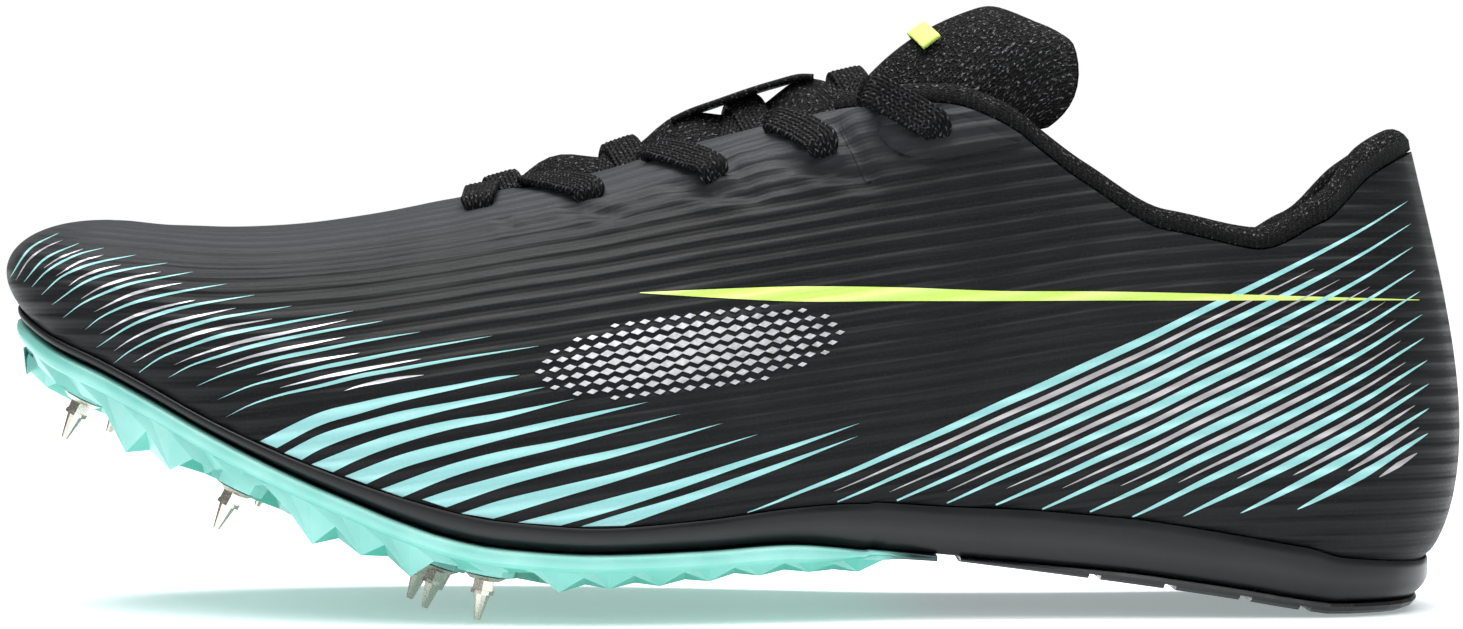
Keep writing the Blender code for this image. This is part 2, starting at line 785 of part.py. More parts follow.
def make_heel_outsole():
    """The rubber under shank and heel, flat on the ground at the heel, with grooves across its tread."""
    start = section_at(HEEL_FRONT)
    stations = list(np.linspace(start, opposite(start), 44))

    def top(along):
        return foam_bottom(along) - FIT_GAP

    def ground(along):
        return top(along) - RUBBER_HEIGHT * sole_rubber(along)

    rings = [
        sole_loop(lambda a: 2.0 * MIDSOLE_LIP, top, stations),
        sole_loop(lambda a: 1.6 * MIDSOLE_LIP, lambda a: 0.3 * ground(a) + 0.7 * top(a), stations),
        sole_loop(lambda a: 2.4 * MIDSOLE_LIP, lambda a: 0.7 * ground(a) + 0.3 * top(a), stations),
        sole_loop(lambda a: 4.2 * MIDSOLE_LIP, ground, stations),
    ]
    heel = loft("heel_outsole", rings, (0.012, 0.012, 0.013), roughness=0.3)
    grooves = bmesh.new()
    for along in (0.74, 0.79, 0.84, 0.88):
        low = ground(along) - GROOVE_DEPTH
        turn = math.atan2(ground(along - 0.01) - ground(along + 0.01), 0.02 * LENGTH)
        made = bmesh.ops.create_cube(grooves, size=1)
        for vert in made["verts"]:
            x = vert.co.x * GROOVE_WIDTH
            z = vert.co.z * 4 * GROOVE_DEPTH
            vert.co.x = place_x(along) + x * math.cos(turn) + z * math.sin(turn)
            vert.co.y = centre_y(along) + vert.co.y * BALL_WIDTH * 1.2
            vert.co.z = low + z * math.cos(turn) - x * math.sin(turn)
    boolean(heel, cutter("groove_cutter", grooves), "DIFFERENCE")
    return heel


def spike_frame(row):
    """A spike's tip and the way up along it, square to the plate above."""
    along, across, tip = row
    slope = (foam_bottom(along + 0.02) - foam_bottom(along - 0.02)) / (0.04 * LENGTH)
    up = unit(np.array((-slope, 0.0, 1.0)))
    height = tip * TOE_SPRING + TIP_WIDTH / 2 * math.hypot(up[0], up[1])
    point = np.array((place_x(along), centre_y(along) + across * BALL_WIDTH / 2, height))
    return point, up


def plate_stations():
    toe = [0.0, 0.5, 1.0, 1.5, 2.0, 2.5]
    step = LUG_PITCH / 2 / LENGTH
    alongs = np.arange(section["base_along"](2.5) + step, 0.600, step)
    tail = (0.612, 0.636)
    return toe + [section_at(along) for along in alongs] + [section_at(along) for along in tail]


def make_spike_plate():
    """The moulded plate: a body under the foam with faceted lugs, and a boss over each spike."""
    random = np.random.default_rng(7)
    stations = plate_stations()
    across = np.linspace(-1, 1, 13)
    spikes = [spike_frame(row) for row in SPIKES]
    top = []
    rim = []
    bottom = []
    for i, t in enumerate(stations):
        outer = base_point(t)
        inner = base_point(opposite(t))
        along = section["base_along"](t)
        roof = foam_bottom(along) - FIT_GAP
        body = plate_body(along) * PLATE_BODY
        lug = plate_lug(along) * LUG_DEPTH
        top_row = []
        rim_row = []
        bottom_row = []
        for j, v in enumerate(across):
            side = abs(v) == 1
            point = outer + (inner - outer) * (v + 1) / 2
            centre = (outer + inner) / 2
            half = np.linalg.norm(inner - outer) / 2
            at_tip = half < 0.0001 * LENGTH
            inward = (centre - point) / half if side and not at_tip else np.zeros(3)
            front = outward(t) if at_tip or (i < 3 and side) else np.zeros(3)
            tooth = 0.0 if at_tip else (i + j) % 2
            depth = 0.72 + 0.28 * random.random()
            drop = body + lug * tooth * depth * (1.0 if side else 0.72)
            for tip, up in spikes:
                base = tip + up * SPIKE_LENGTH
                flat = math.hypot(point[0] - base[0], point[1] - base[1])
                if flat < 1.15 * BOSS_WIDTH:
                    drop = min(drop, roof - base[2] - 0.2 * LUG_DEPTH, body)
            top_row.append((*(point[:2] + inward[:2] * 0.23 * LUG_DEPTH), roof))
            pull = inward * (0.32 + 0.36 * tooth) * LUG_DEPTH - front * 0.34 * LUG_DEPTH
            bottom_row.append((*(point[:2] + pull[:2]), roof - drop))
            if side:
                bulge = inward * (0.05 + 0.20 * (1 - tooth)) * LUG_DEPTH
                rim_row.append((*(point[:2] + bulge[:2]), roof - body * (0.32 + 0.25 * tooth)))
        top.append(top_row)
        bottom.append(bottom_row)
        rim.append(rim_row)
    wide = len(across)
    points = []
    index = {}

    def add(key, point):
        index[key] = len(points)
        points.append(point)

    for i in range(len(stations)):
        for j in range(wide):
            add(("top", i, j), top[i][j])
            add(("bottom", i, j), bottom[i][j])
        add(("rim", i, 0), rim[i][0])
        add(("rim", i, wide - 1), rim[i][1])
    faces = []
    for i in range(len(stations) - 1):
        for j in range(wide - 1):
            for layer in ("top", "bottom"):
                a = index[(layer, i, j)]
                b = index[(layer, i + 1, j)]
                c = index[(layer, i + 1, j + 1)]
                d = index[(layer, i, j + 1)]
                if (i + j) % 2:
                    faces.extend(((a, b, c), (a, c, d)))
                else:
                    faces.extend(((a, b, d), (b, c, d)))
        for j in (0, wide - 1):
            for high, low in (("top", "rim"), ("rim", "bottom")):
                a = index[(high, i, j)]
                b = index[(high, i + 1, j)]
                c = index[(low, i + 1, j)]
                d = index[(low, i, j)]
                faces.extend(((a, b, c), (a, c, d)))
    last = len(stations) - 1
    for j in range(wide - 1):
        faces.append((
            index[("top", last, j)], index[("top", last, j + 1)],
            index[("bottom", last, j + 1)], index[("bottom", last, j)],
        ))
    for j in (0, wide - 1):
        faces.append((index[("top", last, j)], index[("rim", last, j)], index[("bottom", last, j)]))
    plate = new_object("spike_plate", points, faces, (0.33, 0.74, 0.67), roughness=0.35, smooth=False)
    outside_out(plate)
    bosses = bmesh.new()
    for tip, up in spikes:
        base = tip + up * (SPIKE_LENGTH + FIT_GAP)
        along = base[0] / LENGTH + 0.5
        height = (foam_bottom(along) - FIT_GAP - base[2]) * 0.8
        add_cylinder(bosses, BOSS_WIDTH, 1.2 * BOSS_WIDTH, height, base, up, 10)
    boolean(plate, cutter("boss_joiner", bosses), "UNION")
    return plate


def make_spike(number, row):
    """One screw-in spike: washer, hexagonal grip, ring and cone, turned tip down."""
    tip, up = spike_frame(row)
    washer = bmesh.new()
    top = tip + up * SPIKE_LENGTH
    add_cylinder(washer, 0.7 * WASHER_WIDTH, WASHER_WIDTH, WASHER_HEIGHT, top - up * WASHER_HEIGHT, up, 10)
    name = f"spike_{number}"
    mesh = bpy.data.meshes.new(name)
    washer.to_mesh(mesh)
    washer.free()
    spike = bpy.data.objects.new(name, mesh)
    parts.objects.link(spike)
    sunk = 0.4 * RING_HEIGHT
    low = top - up * (WASHER_HEIGHT + GRIP_HEIGHT)
    pieces = (
        ("grip", GRIP_WIDTH, GRIP_WIDTH, GRIP_HEIGHT + sunk, low, 6),
        ("ring", RING_WIDTH, RING_WIDTH, RING_HEIGHT + sunk, low - up * RING_HEIGHT, 10),
    )
    cone = SPIKE_LENGTH - WASHER_HEIGHT - GRIP_HEIGHT - RING_HEIGHT
    pieces += (("cone", TIP_WIDTH, CONE_WIDTH, cone + sunk, tip, 10),)
    for piece, width, top_width, height, place, sides in pieces:
        form = bmesh.new()
        add_cylinder(form, width, top_width, height, place, up, sides)
        boolean(spike, cutter(f"{name}_{piece}", form), "UNION")
    dress(spike, (0.55, 0.54, 0.52), 0.3, 1.0)
    return spike


def clear_scene():
    for obj in list(bpy.data.objects):
        bpy.data.objects.remove(obj, do_unlink=True)


clear_scene()
parts = bpy.data.collections.new("track_spike_shoe")
cutters = bpy.data.collections.new("cutters")
bpy.context.scene.collection.children.link(parts)
bpy.context.scene.collection.children.link(cutters)

make_upper()
make_collar_roll()
make_tongue()
make_tongue_label()
make_laces()
make_lace_keeper()
make_insole()
make_midsole()
make_heel_outsole()
make_spike_plate()
for number, row in enumerate(SPIKES, 1):
    make_spike(number, row)
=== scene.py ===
"""The left track spike shoe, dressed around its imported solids: film, prints, laces, pads and sole."""

import math
from functools import lru_cache

import bmesh
import bpy
import numpy as np
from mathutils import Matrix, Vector
from mathutils.bvhtree import BVHTree
from mathutils.interpolate import poly_3d_calc


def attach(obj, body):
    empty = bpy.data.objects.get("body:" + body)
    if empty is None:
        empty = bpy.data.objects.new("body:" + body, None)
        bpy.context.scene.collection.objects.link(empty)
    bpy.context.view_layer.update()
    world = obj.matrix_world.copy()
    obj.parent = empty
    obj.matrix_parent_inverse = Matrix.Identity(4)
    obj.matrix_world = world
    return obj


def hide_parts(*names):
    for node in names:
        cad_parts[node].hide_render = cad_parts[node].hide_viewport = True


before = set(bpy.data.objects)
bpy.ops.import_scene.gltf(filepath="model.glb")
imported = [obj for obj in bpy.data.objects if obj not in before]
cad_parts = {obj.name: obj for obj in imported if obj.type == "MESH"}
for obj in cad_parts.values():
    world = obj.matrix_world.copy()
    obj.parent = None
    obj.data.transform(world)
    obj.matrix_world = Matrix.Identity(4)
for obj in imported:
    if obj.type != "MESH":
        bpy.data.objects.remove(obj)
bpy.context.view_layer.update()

bl_info = {
    "name": "Track spike shoe",
    "version": (1, 0, 0),
    "blender": (4, 5, 0),
    "location": "View3D > Sidebar > Spike shoe",
    "description": "Builds a left track spike shoe around its packed solids",
    "category": "Object",
}

MM = 0.001
ROOT = "root"

# Sizes of the last, the same as in the part's source
LENGTH = 277 * MM
BALL_WIDTH = 90 * MM
TOE_SPRING = 42 * MM
INSTEP_RISE = 72.5 * MM
HEEL_RISE = 76.3 * MM
SIDE_SHIFT = 1.5 * MM
UPPER_WALL = 1.8 * MM
BELLY = 7.6 * MM
BELLY_SKEW = 0.65
FIT_GAP = 0.35 * MM
EYELET_BORE = 4.2 * MM
EYELET_INSET = 9.2 * MM
SCALLOP_WIDTH = 6.0 * MM
ROLL_WIDTH = 6.2 * MM
ROLL_DEPTH = 14 * MM
ROLL_FRONT = 11.5
SPIKE_LENGTH = 8.2 * MM
PLATE_BODY = 4.4 * MM
FOAM_HEIGHT = 8.0 * MM
MIDSOLE_LIP = 0.8 * MM
RUBBER_HEIGHT = 2.0 * MM
INSOLE_HEIGHT = 3.0 * MM
TONGUE_START = 7.45
THROAT_END = 12.0
TONGUE_WALL = 3.4 * MM
TONGUE_HEAD = 28 * MM
TONGUE_PAD = 8.5 * MM
TONGUE_TUCK = 15 * MM
TONGUE_SPLIT = 0.62
LACE_ROOM = 2.3 * MM
CROWN_SHARE = 0.33
KEEPER_WIDTH = 11 * MM

# Columns: how far from the toe, the sole's spring, its clearance at the ball, foam and rubber
SOLE_COLUMNS = ("along", "spring", "clear", "foam", "rubber")
SOLE = (
    (0.010, 1.000, 1.00, 0.28, 0.00),
    (0.042, 0.867, 1.00, 0.30, 0.00),
    (0.080, 0.757, 1.00, 0.31, 0.00),
    (0.116, 0.643, 1.00, 0.32, 0.00),
    (0.152, 0.520, 1.00, 0.33, 0.00),
    (0.186, 0.412, 1.00, 0.36, 0.00),
    (0.218, 0.317, 1.00, 0.40, 0.00),
    (0.253, 0.222, 1.00, 0.46, 0.00),
    (0.286, 0.136, 1.00, 0.54, 0.00),
    (0.319, 0.066, 1.00, 0.60, 0.00),
    (0.351, 0.026, 1.00, 0.60, 0.00),
    (0.415, 0.000, 1.00, 0.58, 0.00),
    (0.480, 0.000, 1.04, 0.67, 0.00),
    (0.539, 0.000, 1.11, 0.81, 0.00),
    (0.591, 0.000, 1.00, 1.07, 0.00),
    (0.640, 0.000, 0.83, 1.14, 0.30),
    (0.710, 0.000, 0.62, 1.24, 0.70),
    (0.780, 0.000, 0.41, 1.25, 1.00),
    (0.843, 0.000, 0.20, 1.22, 1.00),
    (0.880, 0.000, 0.06, 1.21, 1.00),
    (0.905, 0.000, 0.00, 1.06, 1.00),
    (0.955, 0.000, 0.00, 0.90, 1.00),
    (0.980, 0.000, 0.05, 0.84, 1.00),
)
BALL_CLEARANCE = SPIKE_LENGTH + PLATE_BODY

# The middle of the foot bends inwards at the arch: share of half the ball's width, towards the inner side
CENTRE_COLUMNS = ("along", "inwards")
CENTRE = (
    (0.00, 0.115),
    (0.08, 0.085),
    (0.16, 0.045),
    (0.26, 0.005),
    (0.36, -0.040),
    (0.46, -0.080),
    (0.56, -0.090),
    (0.66, -0.065),
    (0.76, -0.035),
    (0.86, 0.000),
    (1.00, 0.000),
)

# One row for each section from the toe to the heel, the same for both sides of the centre line
SECTION_COLUMNS = (
    "base_along", "base_half", "top_along", "top_half", "instep", "heel", "round", "belly", "full",
)
SECTIONS = (
    (0.010, 0.000, 0.070, 0.000, 0.343, 0.000, 1.00, 0.54, 2.50),
    (0.018, 0.270, 0.073, 0.000, 0.347, 0.000, 1.00, 0.51, 2.50),
    (0.045, 0.500, 0.083, 0.000, 0.362, 0.000, 1.00, 0.42, 2.50),
    (0.085, 0.640, 0.108, 0.000, 0.397, 0.000, 1.00, 0.32, 2.45),
    (0.130, 0.775, 0.142, 0.000, 0.458, 0.000, 1.00, 0.25, 2.35),
    (0.190, 0.902, 0.193, 0.000, 0.552, 0.000, 1.00, 0.22, 2.25),
    (0.250, 0.960, 0.250, 0.000, 0.662, 0.000, 1.00, 0.21, 2.15),
    (0.305, 0.987, 0.305, 0.000, 0.767, 0.000, 1.00, 0.21, 2.10),
    (0.340, 0.993, 0.338, 0.100, 0.817, 0.000, 0.95, 0.24, 2.05),
    (0.400, 0.978, 0.400, 0.195, 0.880, 0.000, 0.84, 0.26, 2.00),
    (0.470, 0.910, 0.475, 0.255, 0.948, 0.000, 0.72, 0.32, 2.00),
    (0.540, 0.807, 0.545, 0.305, 0.979, 0.000, 0.60, 0.37, 2.00),
    (0.590, 0.742, 0.592, 0.380, 1.000, 0.000, 0.50, 0.39, 2.00),
    (0.630, 0.702, 0.640, 0.475, 1.012, 0.000, 0.42, 0.39, 2.00),
    (0.670, 0.682, 0.680, 0.545, 0.968, 0.000, 0.35, 0.39, 2.00),
    (0.720, 0.673, 0.735, 0.600, 0.420, 0.390, 0.28, 0.42, 2.00),
    (0.780, 0.680, 0.790, 0.620, 0.000, 0.700, 0.20, 0.45, 2.00),
    (0.840, 0.693, 0.845, 0.620, 0.000, 0.690, 0.15, 0.50, 2.00),
    (0.895, 0.671, 0.892, 0.580, 0.000, 0.786, 0.10, 0.61, 2.00),
    (0.940, 0.556, 0.930, 0.440, 0.000, 0.925, 0.05, 0.79, 2.00),
    (0.967, 0.311, 0.958, 0.240, 0.000, 0.985, 0.00, 0.95, 2.00),
    (0.975, 0.000, 0.968, 0.000, 0.000, 1.000, 0.00, 1.00, 2.00),
)
LAST_ROW = len(SECTIONS) - 1
LOOP = 2 * LAST_ROW

SPIKE_COUNT = 8

# Eyelets: the section each lies on, and how far below the throat's edge as a share of EYELET_INSET
EYELETS = ((7.80, 1.25), (9.07, 1.12), (10.18, 1.18), (11.33, 0.90), (12.93, 0.52))
SCALLOPS = (8.45, 9.66, 10.78)

# Half of the tongue's top edge: place across, then shares of TONGUE_HEAD back, of the half width, and down
HEAD = ((0.0, 0.00, 0.000, 0.00), (0.6, 0.30, 0.310, 0.24), (1.0, 0.47, 0.420, 0.80))

# The collar roll's outline around the top edge: shares of ROLL_WIDTH outwards and of ROLL_DEPTH upwards
ROLL_OUTLINE = (
    (-0.02, 0.035),
    (0.00, 0.150),
    (-0.22, 0.265),
    (-0.58, 0.265),
    (-0.88, 0.140),
    (-1.00, -0.150),
    (-0.92, -0.550),
    (-0.70, -1.000),
    (-0.52, -1.000),
    (-0.42, -0.450),
    (-0.40, -0.050),
    (-0.36, 0.035),
)

# The side view that the prints are charted in: 1463 units wide, seen from in front of the outer side
VIEW_PLACE = np.array((0.0, -0.745, 0.065))
VIEW_SCALE = 3911.0
VIEW_MIDDLE = (731.0, 261.0)


# The last: the part's own tables and curves, which here also take many places at once

def monotone(places, values):
    """A smooth curve through the values that never swings past them."""
    places = np.asarray(places, float)
    values = np.asarray(values, float)
    steps = np.diff(places)
    slopes = np.diff(values) / steps
    tangents = np.zeros(len(values))
    tangents[0] = slopes[0]
    tangents[-1] = slopes[-1]
    for i in range(1, len(values) - 1):
        before = slopes[i - 1]
        after = slopes[i]
        if before * after > 0:
            first = 2 * steps[i] + steps[i - 1]
            second = steps[i] + 2 * steps[i - 1]
            tangents[i] = (first + second) / (first / before + second / after)

    def value(place):
        i = np.clip(np.searchsorted(places, place) - 1, 0, len(steps) - 1)
        t = np.clip((place - places[i]) / steps[i], 0.0, 1.0)
        start = (2 * t + 1) * (1 - t) ** 2 * values[i] + t * t * (3 - 2 * t) * values[i + 1]
        return start + steps[i] * (t * (1 - t) ** 2 * tangents[i] - t * t * (1 - t) * tangents[i + 1])

    return value


def column(table, names, name):
    return [row[names.index(name)] for row in table]


def along_curve(table, names, name):
    return monotone(column(table, names, "along"), column(table, names, name))


sole_spring = along_curve(SOLE, SOLE_COLUMNS, "spring")
sole_clear = along_curve(SOLE, SOLE_COLUMNS, "clear")
sole_foam = along_curve(SOLE, SOLE_COLUMNS, "foam")
sole_rubber = along_curve(SOLE, SOLE_COLUMNS, "rubber")
centre_shift = along_curve(CENTRE, CENTRE_COLUMNS, "inwards")


def place_x(along):
    return (along - 0.5) * LENGTH


def foam_bottom(along):
    stack = RUBBER_HEIGHT * sole_rubber(along) + FIT_GAP * (sole_rubber(along) > 0)
    return TOE_SPRING * sole_spring(along) + BALL_CLEARANCE * sole_clear(along) + stack


def bite_height(along):
    return foam_bottom(along) + FOAM_HEIGHT * sole_foam(along)


def centre_y(along):
    return centre_shift(along) * BALL_WIDTH / 2 + SIDE_SHIFT


def around(name):
    """A section column as a smooth function of the loop place; halves are negative on the outer side."""
    values = column(SECTIONS, SECTION_COLUMNS, name)
    places = range(-3, LOOP + 4)
    turned = []
    for place in places:
        spot = place % LOOP
        row = spot if spot <= LAST_ROW else LOOP - spot
        sign = -1 if name.endswith("half") and spot < LAST_ROW else 1
        turned.append(sign * values[row])
    curve = monotone(places, turned)
    return lambda place: curve(place % LOOP)


section = {name: around(name) for name in SECTION_COLUMNS}


@lru_cache(maxsize=8192)
def base_point(t):
    along = section["base_along"](t)
    y = centre_y(along) + section["base_half"](t) * BALL_WIDTH / 2
    return np.array((place_x(along), y, bite_height(along)))


def top_point(t):
    along = section["top_along"](t)
    y = centre_y(along) + section["top_half"](t) * BALL_WIDTH / 2
    rise = INSTEP_RISE * section["instep"](t) + HEEL_RISE * section["heel"](t)
    return np.array((place_x(along), y, bite_height(along) + rise))


def unit(vector):
    return vector / np.maximum(np.linalg.norm(vector, axis=-1, keepdims=True), 1e-12)


def run_along(points):
    """The way walked along the points, from nought at the first."""
    return np.concatenate(([0], np.cumsum(np.linalg.norm(np.diff(points, axis=0), axis=1))))


def outward(t):
    step = base_point(t + 0.02) - base_point(t - 0.02)
    return unit(np.array((step[1], -step[0], 0.0)))


def opposite(t):
    return LOOP - t


def rib(t, count):
    """Points at equal steps up the side of the last, from the bite line to the upper's edge or ridge."""
    base = base_point(t)
    span = top_point(t) - base
    u = np.linspace(0, 1, 61)
    blend = section["round"](t)
    power = 2 / section["full"](t)
    across = (1 - blend) * u + blend * (1 - np.clip(np.cos(u * math.pi / 2), 0, 1) ** power)
    up = (1 - blend) * u + blend * np.sin(u * math.pi / 2) ** power
    swell = section["belly"](t) * BELLY * np.sin(math.pi * u**BELLY_SKEW)
    points = base + np.column_stack((across, across, up)) * span + swell[:, None] * outward(t)
    lengths = run_along(points)
    places = np.linspace(0, lengths[-1], count)
    return np.column_stack([np.interp(places, lengths, points[:, k]) for k in range(3)]), lengths[-1]


# The upper's outside as a fine grid, and quick ways to read it

ROW_STEPS = 12
STATIONS = LOOP * ROW_STEPS
LEVELS = 85


def smooth_step(x):
    x = np.clip(x, 0.0, 1.0)
    return x * x * (3 - 2 * x)


def grid_of_last():
    points = np.zeros((STATIONS, LEVELS, 3))
    lengths = np.zeros(STATIONS)
    for i in range(STATIONS):
        points[i], lengths[i] = rib(i / ROW_STEPS, LEVELS)
    return points, lengths


def grid_normals(points):
    along = np.roll(points, -1, axis=0) - np.roll(points, 1, axis=0)
    up = np.gradient(points, axis=1)
    return unit(np.cross(along, up))


SKIN, LENGTHS = grid_of_last()
NORMALS = grid_normals(SKIN)


def read_grid(grid, t, u):
    """Values of a grid over the upper, by straight lines between its points."""
    t = np.asarray(t, float) % LOOP * ROW_STEPS
    u = np.clip(np.asarray(u, float), 0.0, 1.0) * (LEVELS - 1)
    i = np.floor(t).astype(int) % STATIONS
    k = np.clip(np.floor(u).astype(int), 0, LEVELS - 2)
    a = (t - np.floor(t))[..., None]
    b = (u - k)[..., None]
    after = (i + 1) % STATIONS
    low = grid[i, k] * (1 - a) + grid[after, k] * a
    high = grid[i, k + 1] * (1 - a) + grid[after, k + 1] * a
    return low * (1 - b) + high * b


def side_length(t):
    t = np.asarray(t, float) % LOOP * ROW_STEPS
    i = np.floor(t).astype(int) % STATIONS
    a = t - np.floor(t)
    return LENGTHS[i] * (1 - a) + LENGTHS[(i + 1) % STATIONS] * a


def skin(t, depth, lift=0.0):
    """A point on the outside of the upper, this far below its edge, and the way out of it there."""
    u = 1 - depth / side_length(t)
    way = unit(read_grid(NORMALS, t, u))
    return read_grid(SKIN, t, u) + way * lift, way


def seen(points):
    """Where points of the shoe appear in the side view."""
    shift = points - VIEW_PLACE
    x = VIEW_MIDDLE[0] + VIEW_SCALE * shift[..., 0] / shift[..., 1]
    y = VIEW_MIDDLE[1] - VIEW_SCALE * shift[..., 2] / shift[..., 1]
    return np.stack((x, y), axis=-1)


def outer_tree():
    """A search tree over the outer half of the upper, a quad for each cell of the grid."""
    half = LAST_ROW * ROW_STEPS
    points = [Vector(point) for point in SKIN[: half + 1].reshape(-1, 3)]
    quads = []
    for i in range(half):
        for k in range(LEVELS - 1):
            near = i * LEVELS + k
            far = near + LEVELS
            quads.append((near, far, far + 1, near + 1))
    return BVHTree.FromPolygons(points, quads), points, quads


OUTER_TREE, OUTER_POINTS, OUTER_QUADS = outer_tree()


def find_spot(x, y):
    """The place on the outer side that shows at x, y in the side view, as loop place and height share."""
    way = Vector(((x - VIEW_MIDDLE[0]) / VIEW_SCALE, 1.0, (VIEW_MIDDLE[1] - y) / VIEW_SCALE)).normalized()
    start = Vector(VIEW_PLACE)
    spot, _, number, _ = OUTER_TREE.ray_cast(start, way)
    if spot is None:
        middle = start + way * (-VIEW_PLACE[1] / way.y)
        spot, _, number, _ = OUTER_TREE.find_nearest(middle)
    corners = [OUTER_POINTS[k] for k in OUTER_QUADS[number]]
    weights = poly_3d_calc(corners, spot)
    i, k = divmod(number, LEVELS - 1)
    t = (i + weights[1] + weights[2]) / ROW_STEPS
    u = (k + weights[2] + weights[3]) / (LEVELS - 1)
    return t, u


# Relief of the upper: creases, pressed edges and the raised piece around the top eyelet

# Creases in the side view: start, end, depth in millimetres, half width in millimetres
CREASES = (
    ((500, 220), (518, 230), 0.30, 1.0),
    ((565, 208), (632, 218), 0.50, 1.3),
    ((672, 187), (762, 200), 0.60, 1.5),
    ((722, 160), (758, 199), 0.40, 1.5),
    ((785, 158), (873, 184), 0.65, 1.7),
    ((835, 123), (873, 184), 0.50, 1.6),
    ((834, 122), (868, 181), 0.12, 0.5),
)

# One photo gives where the creases run and not how deep they are: this is judged
CREASE_SCALE = 1.7

# The raised piece around the top eyelet, charted in the side view
RAISED = (
    (868, 90), (873, 114), (879, 133), (890, 147), (908, 156), (932, 160),
    (962, 158), (990, 153), (1015, 146), (1036, 136), (1040, 100), (960, 60), (900, 60),
)
RAISED_HEIGHT = 0.6 * MM


def distance_to_line(points, start, end):
    """Distance of each point to a segment, and how far along it the nearest place is, from 0 to 1."""
    span = end - start
    share = np.clip(((points - start) @ span) / max(span @ span, 1e-12), 0, 1)
    return np.linalg.norm(points - (start + share[..., None] * span), axis=-1), share


def inside_outline(points, outline):
    """Signed distance to an outline in the side view, positive inside."""
    outline = np.asarray(outline, float)
    inside = np.zeros(points.shape[:-1], bool)
    nearest = np.full(points.shape[:-1], 1e9)
    for a, b in zip(outline, np.roll(outline, -1, axis=0)):
        away, _ = distance_to_line(points, a, b)
        nearest = np.minimum(nearest, away)
        crosses = (a[1] > points[..., 1]) != (b[1] > points[..., 1])
        rise = b[1] - a[1] if abs(b[1] - a[1]) > 1e-9 else 1e-9
        x = a[0] + (points[..., 1] - a[1]) / rise * (b[0] - a[0])
        inside ^= crosses & (points[..., 0] < x)
    return np.where(inside, nearest, -nearest)


def relief_of_upper():
    """How far the upper stands proud or sinks, on the outer half and mirrored to the inner one."""
    half = LAST_ROW * ROW_STEPS
    outer = SKIN[: half + 1]
    relief = np.zeros(outer.shape[:2])
    for start, end, depth, width in CREASES:
        a = read_grid(SKIN, *find_spot(*start))
        b = read_grid(SKIN, *find_spot(*end))
        away, share = distance_to_line(outer, a, b)
        width = width * MM
        fade = np.sin(np.pi * np.clip(0.12 + 0.84 * share, 0, 1)) ** 0.8
        trough = np.exp(-((away / width) ** 2))
        ridge = 0.45 * np.exp(-(((away - 2.1 * width) / (1.1 * width)) ** 2))
        relief -= CREASE_SCALE * depth * MM * fade * (trough - ridge)
    view = seen(outer)
    away = inside_outline(view, RAISED)
    relief += RAISED_HEIGHT * smooth_step(0.5 + away / 6.0)
    full = np.zeros((STATIONS, LEVELS))
    full[: half + 1] = relief
    mirror = [(STATIONS - i) % STATIONS for i in range(half + 1, STATIONS)]
    full[half + 1:] = relief[mirror]
    return full


SKIN = SKIN + NORMALS * relief_of_upper()[..., None]
NORMALS = grid_normals(SKIN)


# Pattern coordinates over the upper: along the shoe and across its ribs, in millimetres

# The slope of the ribs in the side view, from the toe to the heel
RIB_SLOPE = monotone(
    (-0.145, -0.110, -0.082, -0.055, 0.051, 0.127, 0.145),
    (0.00, 0.00, 0.10, 0.15, 0.15, 0.00, 0.00),
)


def rib_lines():
    """For each point of the grid its place along the shoe and its distance across the ribs."""
    xs = np.linspace(-0.145, 0.145, 291)
    heights = np.concatenate(([0], np.cumsum(RIB_SLOPE(xs)[:-1] * np.diff(xs))))
    reference = np.interp(SKIN[..., 0], xs, heights) + 0.045
    gap = SKIN[..., 2] - reference
    across = np.zeros((STATIONS, LEVELS))
    for i in range(STATIONS):
        run = run_along(SKIN[i])
        signs = np.where(np.diff(np.sign(gap[i])) != 0)[0]
        if len(signs):
            k = signs[0]
            share = gap[i, k] / (gap[i, k] - gap[i, k + 1])
            zero = run[k] + share * (run[k + 1] - run[k])
        else:
            zero = -gap[i, 0] if gap[i, 0] > 0 else run[-1] - gap[i, -1]
        across[i] = run - zero
    return np.stack((SKIN[..., 0] * 1000, across * 1000), axis=-1)


RIB_GRID = rib_lines()


# Meshes

def add_object(name, data):
    """An object with this data, in the scene."""
    obj = bpy.data.objects.new(name, data)
    bpy.context.scene.collection.objects.link(obj)
    return obj


def new_mesh(name, points, faces, patterns=None, smooth=True):
    """An object from points and faces; patterns gives two numbers for each point as its pattern map."""
    mesh = bpy.data.meshes.new(name)
    mesh.from_pydata([tuple(map(float, point)) for point in points], [], faces)
    if patterns is not None:
        add_pattern(mesh, patterns)
    if smooth:
        mesh.shade_smooth()
    return add_object(name, mesh)


def add_pattern(mesh, patterns):
    layer = mesh.uv_layers.new(name="Pattern")
    corners = np.zeros(len(mesh.loops), int)
    mesh.loops.foreach_get("vertex_index", corners)
    values = np.asarray(patterns, np.float32)[corners]
    layer.data.foreach_set("uv", values.ravel())


def outside_out(obj):
    form = bmesh.new()
    form.from_mesh(obj.data)
    bmesh.ops.recalc_face_normals(form, faces=form.faces)
    form.to_mesh(obj.data)
    form.free()


def ring_faces(rings, count, start=0, caps=True):
    """Faces through rings of equal counts, closed round each ring and capped at both ends."""
    faces = []
    for level in range(rings - 1):
        for k in range(count):
            after = (k + 1) % count
            low = start + level * count
            high = low + count
            faces.append((low + k, low + after, high + after, high + k))
    if caps:
        faces.append(tuple(start + k for k in reversed(range(count))))
        faces.append(tuple(start + (rings - 1) * count + k for k in range(count)))
    return faces


def loft(name, rings, patterns=None, caps=True):
    rings = np.asarray(rings)
    faces = ring_faces(len(rings), rings.shape[1], caps=caps)
    maps = None if patterns is None else np.asarray(patterns).reshape(-1, 2)
    obj = new_mesh(name, rings.reshape(-1, 3), faces, maps)
    outside_out(obj)
    return obj


